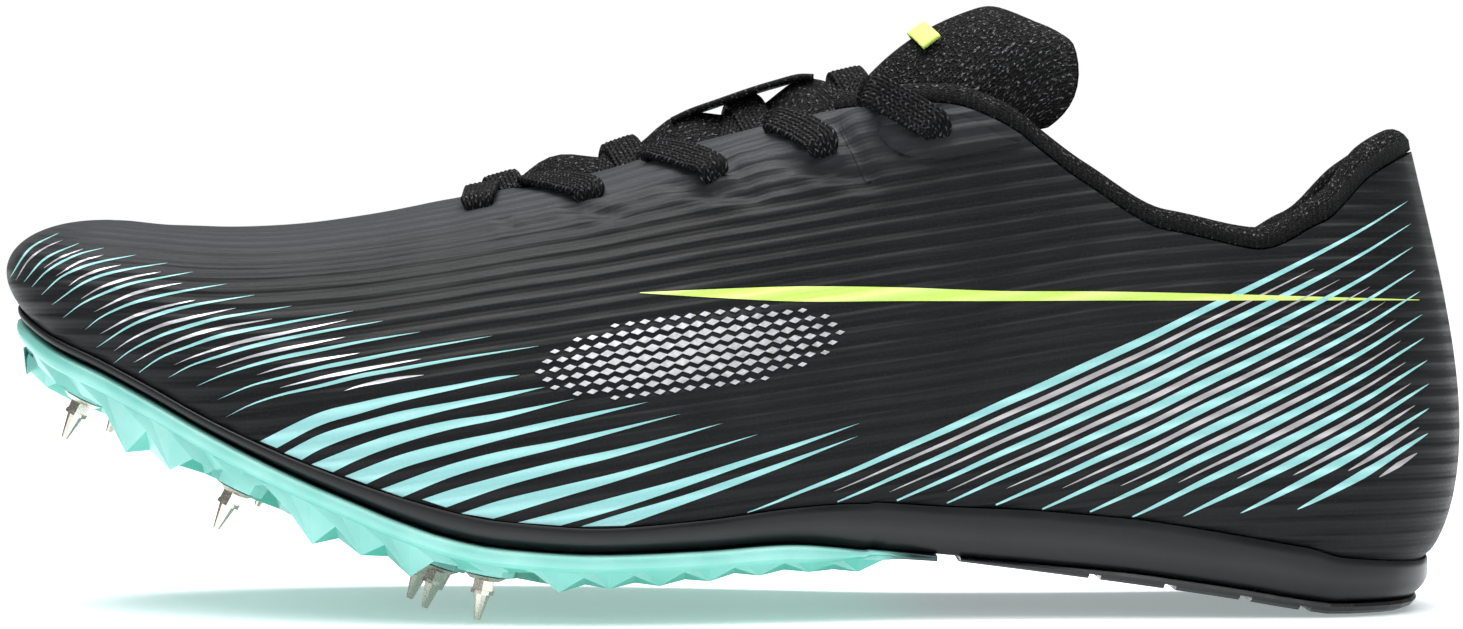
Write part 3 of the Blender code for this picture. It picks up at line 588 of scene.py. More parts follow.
def loft_all(name, parts):
    """One object from several closed lofts, each given as its rings and its pattern map."""
    points = []
    maps = []
    faces = []
    for rings, pattern in parts:
        faces.extend(ring_faces(len(rings), rings.shape[1], len(points)))
        points.extend(rings.reshape(-1, 3))
        maps.extend(pattern.reshape(-1, 2))
    obj = new_mesh(name, points, faces, maps)
    outside_out(obj)
    return obj


def loft_pattern(rings):
    """A pattern map for a loft in millimetres: across each ring and along the rings."""
    rings = np.asarray(rings)
    around_ring = np.linalg.norm(np.diff(rings, axis=1), axis=2)
    across = np.concatenate((np.zeros((len(rings), 1)), np.cumsum(around_ring, axis=1)), axis=1)
    across -= across[:, -1:] / 2
    along = np.repeat(run_along(rings.mean(axis=1))[:, None], rings.shape[1], axis=1)
    return np.stack((along, across), axis=-1) * 1000


def spline(points, count):
    """A smooth curve through the points, with the given number of points at about equal steps."""
    points = np.asarray(points, float)
    gaps = np.linalg.norm(np.diff(points[:, :3], axis=0), axis=1)
    knots = np.concatenate(([0], np.cumsum(np.sqrt(np.maximum(gaps, 1e-9)))))
    fine = np.linspace(0, knots[-1], 40 * len(points))
    result = np.zeros((len(fine), points.shape[1]))
    for axis in range(points.shape[1]):
        values = points[:, axis]
        slopes = np.gradient(values, knots)
        i = np.clip(np.searchsorted(knots, fine) - 1, 0, len(points) - 2)
        step = knots[i + 1] - knots[i]
        s = (fine - knots[i]) / step
        result[:, axis] = (
            (2 * s**3 - 3 * s**2 + 1) * values[i] + (s**3 - 2 * s**2 + s) * step * slopes[i]
            + (3 * s**2 - 2 * s**3) * values[i + 1] + (s**3 - s**2) * step * slopes[i + 1]
        )
    run = run_along(result[:, :3])
    places = np.linspace(0, run[-1], count)
    return np.column_stack([np.interp(places, run, result[:, k]) for k in range(points.shape[1])])


def baked(obj):
    """The object's evaluated mesh in place of its modifiers."""
    depsgraph = bpy.context.evaluated_depsgraph_get()
    mesh = bpy.data.meshes.new_from_object(obj.evaluated_get(depsgraph), depsgraph=depsgraph)
    obj.modifiers.clear()
    obj.data = mesh
    mesh.name = obj.name
    return obj


# Materials

def linear(code):
    """An sRGB hex colour as linear values."""
    channels = [int(code[k:k + 2], 16) / 255 for k in (1, 3, 5)]
    return (*(c / 12.92 if c <= 0.04045 else ((c + 0.055) / 1.055) ** 2.4 for c in channels), 1.0)


def as_colour(value):
    """A hex colour or a colour property as linear values with an alpha."""
    return linear(value) if isinstance(value, str) else (*value, 1.0)


def feed(tree, node, inputs):
    """Sets a node's inputs: each takes a plain value, a socket, or a node, which gives its first output."""
    for name, value in inputs.items():
        if isinstance(value, bpy.types.Node):
            value = value.outputs[0]
        if isinstance(value, bpy.types.NodeSocket):
            tree.links.new(value, node.inputs[name])
        else:
            node.inputs[name].default_value = value


def add_node(tree, kind, settings=None, inputs=None):
    """One node with its settings and its inputs."""
    node = tree.nodes.new(kind)
    for name, value in (settings or {}).items():
        setattr(node, name, value)
    feed(tree, node, inputs or {})
    return node


def start_material(name, **values):
    """A material with its shader; values go on the shader's own sockets."""
    material = bpy.data.materials.new(name)
    material.use_nodes = True
    shader = material.node_tree.nodes["Principled BSDF"]
    for socket, value in values.items():
        shader.inputs[socket.replace("_", " ")].default_value = value
    return material, material.node_tree, shader


def pattern_mm(tree):
    """The piece's own pattern map: u along it and v across it, both in millimetres."""
    coords = add_node(tree, "ShaderNodeUVMap", {"uv_map": "Pattern"})
    parts = add_node(tree, "ShaderNodeSeparateXYZ", inputs={0: coords.outputs[0]})
    return coords.outputs[0], parts.outputs[0], parts.outputs[1]


def object_mm(tree):
    """Object coordinates in millimetres."""
    coords = add_node(tree, "ShaderNodeTexCoord")
    inputs = {0: coords.outputs["Object"], "Scale": 1000.0}
    return add_node(tree, "ShaderNodeVectorMath", {"operation": "SCALE"}, inputs)


RIB_PITCH = 3.2
THREAD_PITCH = 0.9

# Rows and stitches of the braided lace and threads of the label, in millimetres
BRAID_ROW = 0.85
BRAID_STITCH = 1.05
LABEL_THREAD = 0.5

# The knit of tongue and cuff: its open cells, its threads and the glints on them
CLOTH_CELL = "#020202"
CLOTH_THREAD = "#101011"
CLOTH_GLINT = "#77777b"

# Grained finishes: material, values of the shader, grain of the colour (per millimetre, detail), darkest and
# lightest colour, roughness from and to, grain of the bump, its height in millimetres and its strength
GRAINED = {
    # Hot stamped silver foil: a broken metallic gloss from the ribbed cloth under it
    "foil": (
        "hot_stamped_foil", {"Metallic": 0.6}, (1.1, 3.0), ("#a2a2a6", "#e6e6ea"), (0.28, 0.48),
        (1.1, 3.0), 0.05, 0.6,
    ),
    # Brushed knit lining inside the shoe: matt and dark
    "lining": (
        "lining_knit", {"Roughness": 0.9}, (1.4, 3.0), ("#101011", "#232325"), None, (1.4, 3.0), 0.12, 0.6,
    ),
    # Moulded foam with a satin skin: near black, faint flow marks and a low gloss
    "foam": (
        "satin_foam", {"Specular_IOR_Level": 0.35}, (0.06, 2.0), ("#08090a", "#0e0f11"), (0.3, 0.45),
        (2.5, 2.0), 0.02, 0.5,
    ),
    # Compression moulded rubber under the heel: black, smooth and a little glossy with dusty traces
    "rubber": (
        "moulded_rubber", {"Specular_IOR_Level": 0.5}, (0.12, 3.0), ("#111112", "#222224"), (0.22, 0.42),
        (1.8, 2.0), 0.02, 0.5,
    ),
    # Nickel plated steel, turned on a lathe: bright and slightly warm, with a fine grain
    "steel": (
        "nickel_plated_steel", {"Metallic": 1.0}, (4.0, 3.0), ("#b9b2a4", "#d9d4ca"), (0.18, 0.36),
        (4.0, 3.0), 0.01, 0.5,
    ),
    # Brushed textile over thin foam: dark grey and matt
    "insole": (
        "insole_textile", {"Roughness": 0.95, "Sheen_Weight": 0.3}, (1.6, 3.0), ("#232427", "#3a3b3f"),
        None, (1.6, 3.0), 0.1, 0.6,
    ),
}


def rib_height(tree):
    """The ribbed cloth under the film: soft ribs with fine threads, as bump normals."""
    vector, _, across = pattern_mm(tree)
    drift = add_node(tree, "ShaderNodeTexNoise", {}, {"Vector": vector, "Scale": 0.035, "Detail": 1.0})
    wobble = add_node(tree, "ShaderNodeMath", {"operation": "MULTIPLY_ADD"}, {0: drift, 1: 1.6, 2: across})
    turns = 2 * math.pi / (bpy.context.scene.shoe_sizes.rib_pitch / MM)
    phase = add_node(tree, "ShaderNodeMath", {"operation": "MULTIPLY"}, {0: wobble, 1: turns})
    wave = add_node(tree, "ShaderNodeMath", {"operation": "SINE"}, {0: phase})
    soft = add_node(tree, "ShaderNodeMath", {"operation": "MULTIPLY_ADD"}, {0: wave, 1: 0.5, 2: 0.5})
    shaped = add_node(tree, "ShaderNodeMath", {"operation": "POWER"}, {0: soft, 1: 1.5})
    cloud = add_node(tree, "ShaderNodeTexNoise", {}, {"Vector": vector, "Scale": 0.05, "Detail": 2.0})
    patchy = add_node(tree, "ShaderNodeMapRange", {}, {0: cloud, 1: 0.35, 2: 0.6, 3: 0.45, 4: 1.0})
    ribs = add_node(tree, "ShaderNodeMath", {"operation": "MULTIPLY"}, {0: shaped, 1: patchy})
    stretched = add_node(tree, "ShaderNodeMapping", {}, {"Vector": vector, "Scale": (1.1, 3.2, 1.0)})
    inputs = {"Vector": stretched, "Scale": 0.9, "Detail": 3.0, "Roughness": 0.6}
    threads = add_node(tree, "ShaderNodeTexNoise", {}, inputs)
    # One thread in three is drawn, because the real spacing of 0.3 mm is too fine to show
    turns = 2 * math.pi / THREAD_PITCH
    phase = add_node(tree, "ShaderNodeMath", {"operation": "MULTIPLY"}, {0: across, 1: turns})
    lines = add_node(tree, "ShaderNodeMath", {"operation": "SINE"}, {0: phase})
    cloth = add_node(tree, "ShaderNodeMath", {"operation": "MULTIPLY_ADD"}, {0: lines, 1: 0.3, 2: threads})
    first = add_node(tree, "ShaderNodeBump", {}, {"Height": ribs, "Distance": 0.42 * MM, "Strength": 0.8})
    inputs = {"Height": cloth, "Distance": 0.06 * MM, "Strength": 0.7, "Normal": first}
    return add_node(tree, "ShaderNodeBump", {}, inputs), ribs, vector, across


def film_material():
    # Pressed polyurethane film over ribbed cloth: dull, with a soft sheen that widens on the rib tops
    material, tree, shader = start_material(
        "pressed_film", Roughness=0.5, Specular_IOR_Level=0.14, Sheen_Weight=0.06, Sheen_Roughness=0.35
    )
    normal, ribs, vector, across = rib_height(tree)
    fine = add_node(tree, "ShaderNodeTexNoise", {}, {"Vector": vector, "Scale": 2.2, "Detail": 3.0})
    wide = add_node(tree, "ShaderNodeTexNoise", {}, {"Vector": vector, "Scale": 0.02, "Detail": 3.0})
    colour = linear("#08090a")
    # Rib tops, worn patches, a painted highlight that pales the film along the eyelets and over the toe where
    # light falls from above, and specks of grain
    for mask, start, end, share, over in (
        (ribs, 0.0, 1.0, 1.0, "#111213"), (wide, 0.4, 0.7, 0.5, "#191a1b"),
        (across, 18.0, 32.0, 1.0, "#2c2d30"), (fine, 0.5, 0.75, 0.35, "#2a2b2d"),
    ):
        factor = add_node(tree, "ShaderNodeMapRange", {}, {0: mask, 1: start, 2: end, 3: 0.0, 4: share})
        inputs = {0: factor, 6: colour, 7: linear(over)}
        colour = add_node(tree, "ShaderNodeMix", {"data_type": "RGBA"}, inputs).outputs[2]
    rough = add_node(tree, "ShaderNodeMapRange", {}, {0: fine, 1: 0.3, 2: 0.7, 3: 0.44, 4: 0.6})
    feed(tree, shader, {"Base Color": colour, "Roughness": rough, "Normal": normal})
    return material


def print_material(name, low, high, metallic=0.0, roughness=0.45):
    # Transfer print on the film: it follows the ribs under it, with a thin even ink; its colour is painted
    # darker in the rib hollows and lighter on the rib tops, painted shade and painted highlight over some grain
    material, tree, shader = start_material(name, Metallic=metallic, Specular_IOR_Level=0.45)
    normal, ribs, vector, _ = rib_height(tree)
    grain = add_node(tree, "ShaderNodeTexNoise", {}, {"Vector": vector, "Scale": 1.6, "Detail": 3.0})
    faint = add_node(tree, "ShaderNodeMath", {"operation": "MULTIPLY"}, {0: grain, 1: 0.4})
    # The ink's colour: painted shade in the rib hollows and a painted highlight on the rib tops, mixed with the
    # ink's own grain
    mixed = add_node(tree, "ShaderNodeMath", {"operation": "MULTIPLY_ADD"}, {0: ribs, 1: 0.7, 2: faint})
    factor = add_node(tree, "ShaderNodeMapRange", {}, {0: mixed, 1: 0.1, 2: 0.9})
    inputs = {0: factor, 6: as_colour(low), 7: as_colour(high)}
    colour = add_node(tree, "ShaderNodeMix", {"data_type": "RGBA"}, inputs).outputs[2]
    inputs = {0: grain, 1: 0.3, 2: 0.7, 3: roughness - 0.05, 4: roughness + 0.1}
    rough = add_node(tree, "ShaderNodeMapRange", {}, inputs)
    feed(tree, shader, {"Base Color": colour, "Roughness": rough, "Normal": normal})
    return material


def grained_material(name, values, grain, colours, gloss, fine_grain, height, strength):
    """A finish whose colour, gloss and bump follow its grain: a row of GRAINED."""
    material, tree, shader = start_material(name, **values)
    vector = object_mm(tree)
    inputs = {"Vector": vector, "Scale": grain[0], "Detail": grain[1]}
    wide = add_node(tree, "ShaderNodeTexNoise", {}, inputs)
    inputs = {"Vector": vector, "Scale": fine_grain[0], "Detail": fine_grain[1]}
    fine = add_node(tree, "ShaderNodeTexNoise", {}, inputs)
    inputs = {0: wide, 6: linear(colours[0]), 7: linear(colours[1])}
    colour = add_node(tree, "ShaderNodeMix", {"data_type": "RGBA"}, inputs).outputs[2]
    inputs = {"Height": fine, "Distance": height * MM, "Strength": strength}
    bump = add_node(tree, "ShaderNodeBump", {}, inputs)
    feed(tree, shader, {"Base Color": colour, "Normal": bump})
    if gloss:
        rough = add_node(tree, "ShaderNodeMapRange", {}, {0: wide, 1: 0.3, 2: 0.7, 3: gloss[0], 4: gloss[1]})
        feed(tree, shader, {"Roughness": rough})
    return material


def mesh_cloth_material(name, cell):
    # Open sandwich mesh or knit: dark cells between shiny threads that catch the light
    material, tree, shader = start_material(name, Roughness=0.6, Specular_IOR_Level=0.1)
    vector = pattern_mm(tree)[0]
    narrow = add_node(tree, "ShaderNodeMapping", {}, {"Vector": vector, "Scale": (1.0, 1.5, 1.0)})
    inputs = {"Vector": narrow, "Scale": 1.0 / cell, "Randomness": 0.55}
    cells = add_node(tree, "ShaderNodeTexVoronoi", {"feature": "DISTANCE_TO_EDGE"}, inputs)
    edge = add_node(tree, "ShaderNodeMapRange", {}, {0: cells, 1: 0.0, 2: 0.22, 3: 1.0, 4: 0.0})
    grain = add_node(tree, "ShaderNodeTexNoise", {}, {"Vector": vector, "Scale": 1.9 / cell, "Detail": 2.0})
    glints = add_node(tree, "ShaderNodeMapRange", {}, {0: grain, 1: 0.56, 2: 0.68})
    shine = add_node(tree, "ShaderNodeMath", {"operation": "MULTIPLY"}, {0: edge, 1: glints})
    colour = linear(CLOTH_CELL)
    for mask, over in ((edge, CLOTH_THREAD), (shine, CLOTH_GLINT)):
        inputs = {0: mask, 6: colour, 7: linear(over)}
        colour = add_node(tree, "ShaderNodeMix", {"data_type": "RGBA"}, inputs).outputs[2]
    rough = add_node(tree, "ShaderNodeMapRange", {}, {0: shine, 3: 0.7, 4: 0.3})
    bump = add_node(tree, "ShaderNodeBump", {}, {"Height": edge, "Distance": 0.4 * MM, "Strength": 0.9})
    feed(tree, shader, {"Base Color": colour, "Roughness": rough, "Normal": bump})
    return material


def lace_material():
    # Flat braided polyester lace: fine slanted stitches along each rib, with small light glints
    material, tree, shader = start_material("braided_lace", Roughness=0.55, Specular_IOR_Level=0.08)
    vector, along, across = pattern_mm(tree)
    rows = add_node(tree, "ShaderNodeMath", {"operation": "MULTIPLY"}, {0: across, 1: 1 / BRAID_ROW})
    row = add_node(tree, "ShaderNodeMath", {"operation": "FLOOR"}, {0: rows})
    side = add_node(tree, "ShaderNodeMath", {"operation": "PINGPONG"}, {0: row, 1: 1.0})
    slant = add_node(tree, "ShaderNodeMath", {"operation": "MULTIPLY_ADD"}, {0: side, 1: 2.0, 2: -1.0})
    inside = add_node(tree, "ShaderNodeMath", {"operation": "FRACT"}, {0: rows})
    slanted = add_node(tree, "ShaderNodeMath", {"operation": "MULTIPLY"}, {0: inside, 1: slant})
    inputs = {0: slanted, 1: 0.55, 2: along}
    shifted = add_node(tree, "ShaderNodeMath", {"operation": "MULTIPLY_ADD"}, inputs)
    turns = 2 * math.pi / BRAID_STITCH
    phase = add_node(tree, "ShaderNodeMath", {"operation": "MULTIPLY"}, {0: shifted, 1: turns})
    wave = add_node(tree, "ShaderNodeMath", {"operation": "SINE"}, {0: phase})
    stitch = add_node(tree, "ShaderNodeMath", {"operation": "MULTIPLY_ADD"}, {0: wave, 1: 0.5, 2: 0.5})
    half_turn = add_node(tree, "ShaderNodeMath", {"operation": "MULTIPLY"}, {0: inside, 1: math.pi})
    ridge = add_node(tree, "ShaderNodeMath", {"operation": "SINE"}, {0: half_turn})
    height = add_node(tree, "ShaderNodeMath", {"operation": "MULTIPLY_ADD"}, {0: stitch, 1: 0.6, 2: ridge})
    grain = add_node(tree, "ShaderNodeTexNoise", {}, {"Vector": vector, "Scale": 1.5, "Detail": 2.0})
    glints = add_node(tree, "ShaderNodeMapRange", {}, {0: grain, 1: 0.5, 2: 0.66})
    tops = add_node(tree, "ShaderNodeMapRange", {}, {0: stitch, 1: 0.55, 2: 1.0})
    shine = add_node(tree, "ShaderNodeMath", {"operation": "MULTIPLY"}, {0: tops, 1: glints})
    colour = linear("#020202")
    for mask, over in ((stitch, "#0f0f10"), (shine, "#505054")):
        inputs = {0: mask, 6: colour, 7: linear(over)}
        colour = add_node(tree, "ShaderNodeMix", {"data_type": "RGBA"}, inputs).outputs[2]
    rough = add_node(tree, "ShaderNodeMapRange", {}, {0: shine, 3: 0.65, 4: 0.35})
    bump = add_node(tree, "ShaderNodeBump", {}, {"Height": height, "Distance": 0.14 * MM, "Strength": 0.9})
    feed(tree, shader, {"Base Color": colour, "Roughness": rough, "Normal": bump})
    return material


def plate_material():
    # Injection moulded thermoplastic in light teal: slightly see-through at thin edges, with a soft gloss
    material, tree, shader = start_material(
        "moulded_plate", Roughness=0.36, Subsurface_Weight=0.15, Subsurface_Scale=0.003, Coat_Weight=0.1,
        Coat_Roughness=0.2,
    )
    vector = object_mm(tree)
    wide = add_node(tree, "ShaderNodeTexNoise", {}, {"Vector": vector, "Scale": 0.09, "Detail": 2.0})
    fine = add_node(tree, "ShaderNodeTexNoise", {}, {"Vector": vector, "Scale": 3.0, "Detail": 2.0})
    geometry = add_node(tree, "ShaderNodeNewGeometry")
    facing = add_node(tree, "ShaderNodeSeparateXYZ", {}, {0: geometry.outputs["True Normal"]})
    place = add_node(tree, "ShaderNodeSeparateXYZ", {}, {0: vector})
    colour = linear("#70b5ab")
    # Cloudy plastic, painted shade as a deeper teal on faces that look down, and dark painted shade where it
    # runs out under the shank
    for mask, start, end, low, high, over in (
        (wide, 0.3, 0.7, 0.0, 1.0, "#8ac6bd"), (facing.outputs[2], -0.95, -0.45, 1.0, 0.0, "#27a08b"),
        (place.outputs[0], 27.0, 33.0, 0.0, 1.0, "#1c3534"),
    ):
        factor = add_node(tree, "ShaderNodeMapRange", {}, {0: mask, 1: start, 2: end, 3: low, 4: high})
        inputs = {0: factor, 6: colour, 7: linear(over)}
        colour = add_node(tree, "ShaderNodeMix", {"data_type": "RGBA"}, inputs).outputs[2]
    bump = add_node(tree, "ShaderNodeBump", {}, {"Height": fine, "Distance": 0.015 * MM, "Strength": 0.5})
    feed(tree, shader, {"Base Color": colour, "Subsurface Radius": (0.4, 1.0, 0.9), "Normal": bump})
    return material


def label_material():
    # Woven label: dense lime threads in a plain weave
    material, tree, shader = start_material("woven_label", Roughness=0.6)
    waves = []
    for way in pattern_mm(tree)[1:]:
        turns = 2 * math.pi / LABEL_THREAD
        phase = add_node(tree, "ShaderNodeMath", {"operation": "MULTIPLY"}, {0: way, 1: turns})
        waves.append(add_node(tree, "ShaderNodeMath", {"operation": "SINE"}, {0: phase}))
    weave = add_node(tree, "ShaderNodeMath", {"operation": "MULTIPLY"}, {0: waves[0], 1: waves[1]})
    factor = add_node(tree, "ShaderNodeMapRange", {}, {0: weave, 1: -1.0, 2: 1.0})
    inputs = {0: factor, 6: linear("#b9d957"), 7: linear("#d6f07c")}
    colour = add_node(tree, "ShaderNodeMix", {"data_type": "RGBA"}, inputs).outputs[2]
    bump = add_node(tree, "ShaderNodeBump", {}, {"Height": weave, "Distance": 0.05 * MM, "Strength": 0.6})
    feed(tree, shader, {"Base Color": colour, "Normal": bump})
    return material


MATERIALS = {}


def material(name):
    """The material of this name; all are made once, at the first call."""
    if not MATERIALS:
        colours = bpy.context.scene.shoe_colours
        MATERIALS.update({
            "film": film_material(),
            "teal": print_material("teal_print", colours.teal_shaded, colours.teal_lit),
            "silver": print_material("silver_foil_print", "#a9a9ad", "#e4e4e8", 0.55, 0.38),
            "dull_silver": print_material("dull_silver_print", "#8f8b8d", "#b5b1b3", 0.2, 0.5),
            "lime": print_material("lime_print", colours.lime_shaded, colours.lime_lit),
            "padding": mesh_cloth_material("sandwich_mesh", 1.2),
            "roll": mesh_cloth_material("collar_knit", 1.1),
            "lace": lace_material(),
            "plate": plate_material(),
            "label": label_material(),
        })
        MATERIALS.update({finish: grained_material(*row) for finish, row in GRAINED.items()})
    return MATERIALS[name]


def dress(obj, name):
    obj.data.materials.clear()
    obj.data.materials.append(material(name))


def settle(obj, nodes=()):
    """The last step of each piece: it rides on the shoe and stands for its nodes."""
    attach(obj, ROOT)
    if nodes:
        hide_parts(*nodes)
    return obj


# The upper

EYELET_SIDES = 24
SCALLOP_SIDES = 32


def make_upper():
    """The film shell: its outer skin with creases, a wall inside it, eyelets and the scalloped throat."""
    faces = []
    for i in range(STATIONS):
        after = (i + 1) % STATIONS
        for k in range(LEVELS - 1):
            near = i * LEVELS + k
            far = after * LEVELS + k
            faces.append((near, far, far + 1, near + 1))
    upper = new_mesh("film_upper", SKIN.reshape(-1, 3), faces, RIB_GRID.reshape(-1, 2))
    form = bmesh.new()
    form.from_mesh(upper.data)
    bmesh.ops.remove_doubles(form, verts=form.verts, dist=0.01 * MM)
    form.to_mesh(upper.data)
    form.free()
    dress(upper, "film")
    upper.data.materials.append(material("lining"))
    wall = upper.modifiers.new("Wall", "SOLIDIFY")
    wall.thickness = UPPER_WALL
    wall.offset = -1
    wall.use_even_offset = True
    wall.material_offset = 1
    wall.material_offset_rim = 0
    cuts = [(row[0], row[1] * EYELET_INSET, EYELET_BORE, EYELET_SIDES) for row in EYELETS]
    cuts += [(place, 0.03 * SCALLOP_WIDTH, SCALLOP_WIDTH, SCALLOP_SIDES) for place in SCALLOPS]
    holes = bmesh.new()
    for place, depth, width, sides in cuts:
        for t in (place, opposite(place)):
            point, way = skin(t, depth)
            add_cylinder(holes, width, 6 * UPPER_WALL, point - way * 3 * UPPER_WALL, way, sides)
    cutter = bpy.data.meshes.new("eyelet_cutter")
    holes.to_mesh(cutter)
    holes.free()
    cutter_object = add_object("eyelet_cutter", cutter)
    cut = upper.modifiers.new("Eyelets", "BOOLEAN")
    cut.operation = "DIFFERENCE"
    cut.solver = "MANIFOLD"
    cut.object = cutter_object
    baked(upper)
    bpy.data.objects.remove(cutter_object)
    upper.data.set_sharp_from_angle(angle=math.radians(50))
    return settle(upper, ["upper"])


def add_cylinder(form, width, height, place, axis, sides):
    """A cylinder that stands on a place along an axis, added to a form."""
    axis = Vector(axis).normalized()
    turn = Vector((0, 0, 1)).rotation_difference(axis).to_matrix()
    made = bmesh.ops.create_cone(
        form, cap_ends=True, segments=sides, radius1=width / 2, radius2=width / 2, depth=height
    )
    for vert in made["verts"]:
        vert.co = Vector(place) + turn @ (vert.co + Vector((0, 0, height / 2)))


# Prints, charted in the side view

# Toe lines: greatest width, then points from the low end to the high end
TEAL_TOE = (
    (2.0, (10, 278), (30, 249), (59, 233)),
    (2.0, (24, 282), (45, 259), (80, 243)),
    (2.2, (32, 287), (45, 273), (60, 263), (80, 254), (104, 248)),
    (2.4, (41.5, 295), (60, 278), (80, 268), (100, 262), (137, 255)),
    (2.6, (52, 305), (80, 285), (100, 276), (130, 269), (168, 263)),
    (2.8, (63, 318), (80, 305), (100, 295), (130, 284), (160, 278), (193, 272)),
    (3.0, (85, 330), (100, 318), (130, 304), (160, 296), (190, 290), (227, 284)),
    (3.4, (96, 348), (130, 326), (160, 314), (190, 306), (255, 295)),
    (3.6, (113, 364), (130, 351), (160, 336), (190, 326), (220, 318), (250, 313), (292, 306)),
    (3.8, (133, 377), (160, 358), (190, 346), (220, 336), (280, 324), (353, 311)),
    (4.0, (168, 378), (190, 366), (220, 356), (250, 347), (280, 340), (320, 332), (383, 321)),
    (4.0, (197, 386), (220, 376), (250, 366), (280, 358), (320, 350), (360, 342), (420, 332)),
    (4.0, (217, 400), (250, 386), (280, 378), (320, 368), (360, 360), (400, 352), (492, 336)),
    (4.2, (226, 417), (250, 405), (280, 395), (320, 386), (360, 376), (400, 369), (450, 360), (539, 346)),
)
SILVER_TOE = (
    (1.8, (16, 280), (30, 259), (45, 248), (63, 240)),
    (1.8, (44, 268), (60, 258), (83, 249)),
    (2.0, (56, 276), (80, 262), (104, 255)),
    (2.4, (69, 286), (80, 278), (100, 270), (121, 265)),
    (2.8, (81, 299), (100, 288), (130, 278), (161, 272)),
    (3.0, (94, 312), (130, 295), (160, 287), (183, 283)),
    (3.2, (100, 334), (130, 318), (160, 308), (196, 300)),
    (3.4, (114, 351), (130, 340), (160, 326), (190, 318), (236, 308)),
    (3.4, (133, 363), (160, 348), (190, 336), (220, 328), (272, 319)),
    (3.6, (174, 365), (190, 358), (220, 348), (250, 340), (280, 334), (347, 320)),
    (3.6, (216, 368), (250, 357), (280, 350), (320, 342), (346, 337)),
    (3.6, (257, 375), (280, 368), (320, 360), (360, 353)),
    (3.8, (279, 388), (320, 378), (360, 370), (421, 359)),
    (3.8, (344, 391), (360, 386), (400, 378), (424, 375)),
)
# Broad bands: both ends of the base at the bite line, then place, middle and height up the band, and the tip
TEAL_BANDS = (
    ((256, 443), (273, 450), ((320, 419, 13), (360, 408, 11), (400, 398, 8), (450, 388, 5),
     (500, 378, 3)), (520, 375)),
    ((280, 455), (298, 462), ((320, 442, 15), (360, 428, 12), (400, 417, 11), (450, 406, 7),
     (500, 396, 5)), (545, 387)),
    ((307, 466), (329, 474), ((360, 452, 14), (400, 438, 12), (450, 425, 9), (500, 416, 6)), (574, 399)),
    ((340, 478), (362, 486), ((400, 462, 14), (450, 448, 12), (500, 436, 8), (560, 422, 6)), (648, 402)),
    ((376, 491), (398, 499), ((450, 471, 13), (500, 457, 11), (560, 444, 7)), (680, 414)),
    ((412, 503), (437, 511), ((450, 498, 16), (500, 482, 12), (560, 466, 10), (620, 452, 7)), (723, 423)),
    ((456, 515), (489, 520), ((500, 508, 15), (560, 492, 12), (620, 476, 8)), (759, 434)),
    ((512, 524), (555, 527), ((560, 518, 13), (620, 502, 13), (680, 484, 9), (740, 464, 6),
     (800, 444, 4)), (860, 423)),
    ((576, 528), (620, 527), ((620, 520, 12), (680, 501, 9), (740, 480, 7), (800, 458, 4)), (858, 436)),
)
# Heel lines all follow one curve, each a step lower; a line is where it starts and ends along the shoe
HEEL_CURVE = (
    (740, 515), (760, 508), (800, 492), (850, 472), (900, 450), (950, 428), (1000, 405), (1050, 383),
     (1100, 360),
    (1150, 337), (1200, 312), (1250, 288), (1300, 263), (1340, 242), (1370, 225), (1400, 206), (1430, 187),
)
HEEL_STEP = 24.5
TEAL_HEEL = (
    (740, 1408), (825, 1411), (880, 1413), (937, 1415), (982, 1420), (1030, 1422),
    (1079, 1424), (1126, 1427), (1183, 1429), (1240, 1429), (1297, 1428),
)
SILVER_HEEL = (
    (834, 1314), (889, 1340), (947, 1371), (1006, 1386), (1062, 1395), (1120, 1401),
    (1178, 1406), (1237, 1411), (1293, 1415), (1348, 1419), (1379, 1417),
)
# The long lime line: upper edge and lower edge
LIME_TOP = ((640, 292.5), (720, 289), (800, 286.5), (900, 287.5), (1000, 291), (1100, 291.5),
     (1200, 293.5), (1419, 299.7))
LIME_LOW = ((640, 293), (720, 298), (800, 301.5), (900, 301), (1000, 301), (1100, 300.5),
     (1200, 300.5), (1419, 300.3))
PRINT_LIFT = 0.08 * MM
PRINT_SINK = 0.12 * MM

# The pressed piece around the top eyelet, from the cuff down to its own edge, and the seam in front of it
PRESSED_TOP = (
    (876, 119), (886, 117), (897, 115), (912, 114), (926, 114), (943, 115),
    (958, 117), (974, 122), (989, 130), (1002, 138), (1012, 142),
)
PRESSED_LOW = (
    (874, 120), (877, 128), (881, 137), (890, 147), (905, 155), (930, 159),
    (955, 157), (980, 152), (1000, 148), (1010, 145), (1020, 142),
)
PRESSED_SEAM = ((840, 124), (848, 140), (858, 160), (869, 182))
PRESSED_LIFT = 0.38 * MM
SEAM_LIFT = 0.22 * MM

# In the side view: widths of the heel's lines and of the seam, and how far a band's edge keeps from its base
TEAL_HEEL_WIDTH = 8.4
SILVER_HEEL_WIDTH = 5.2
SEAM_WIDTH = 5.0
BASE_CLEAR = 12


def lens_width(count, widest, share, power=0.75):
    """Widths of a line that tapers to a point at both ends, widest at a share of its length."""
    s = np.linspace(0, 1, count)
    rise = np.where(s < share, s / share, (1 - s) / (1 - share))
    return widest * np.clip(rise, 0, 1) ** power


def edges_of(path, widths):
    """Both edges of a line of these widths along a path in the side view."""
    step = np.gradient(path, axis=0)
    side = unit(np.column_stack((-step[:, 1], step[:, 0])))
    return path + side * widths[:, None] / 2, path - side * widths[:, None] / 2


# A strip ends where its chart leaves the upper by more than this, in pixels of the side view
PRINT_MISS = 2.0


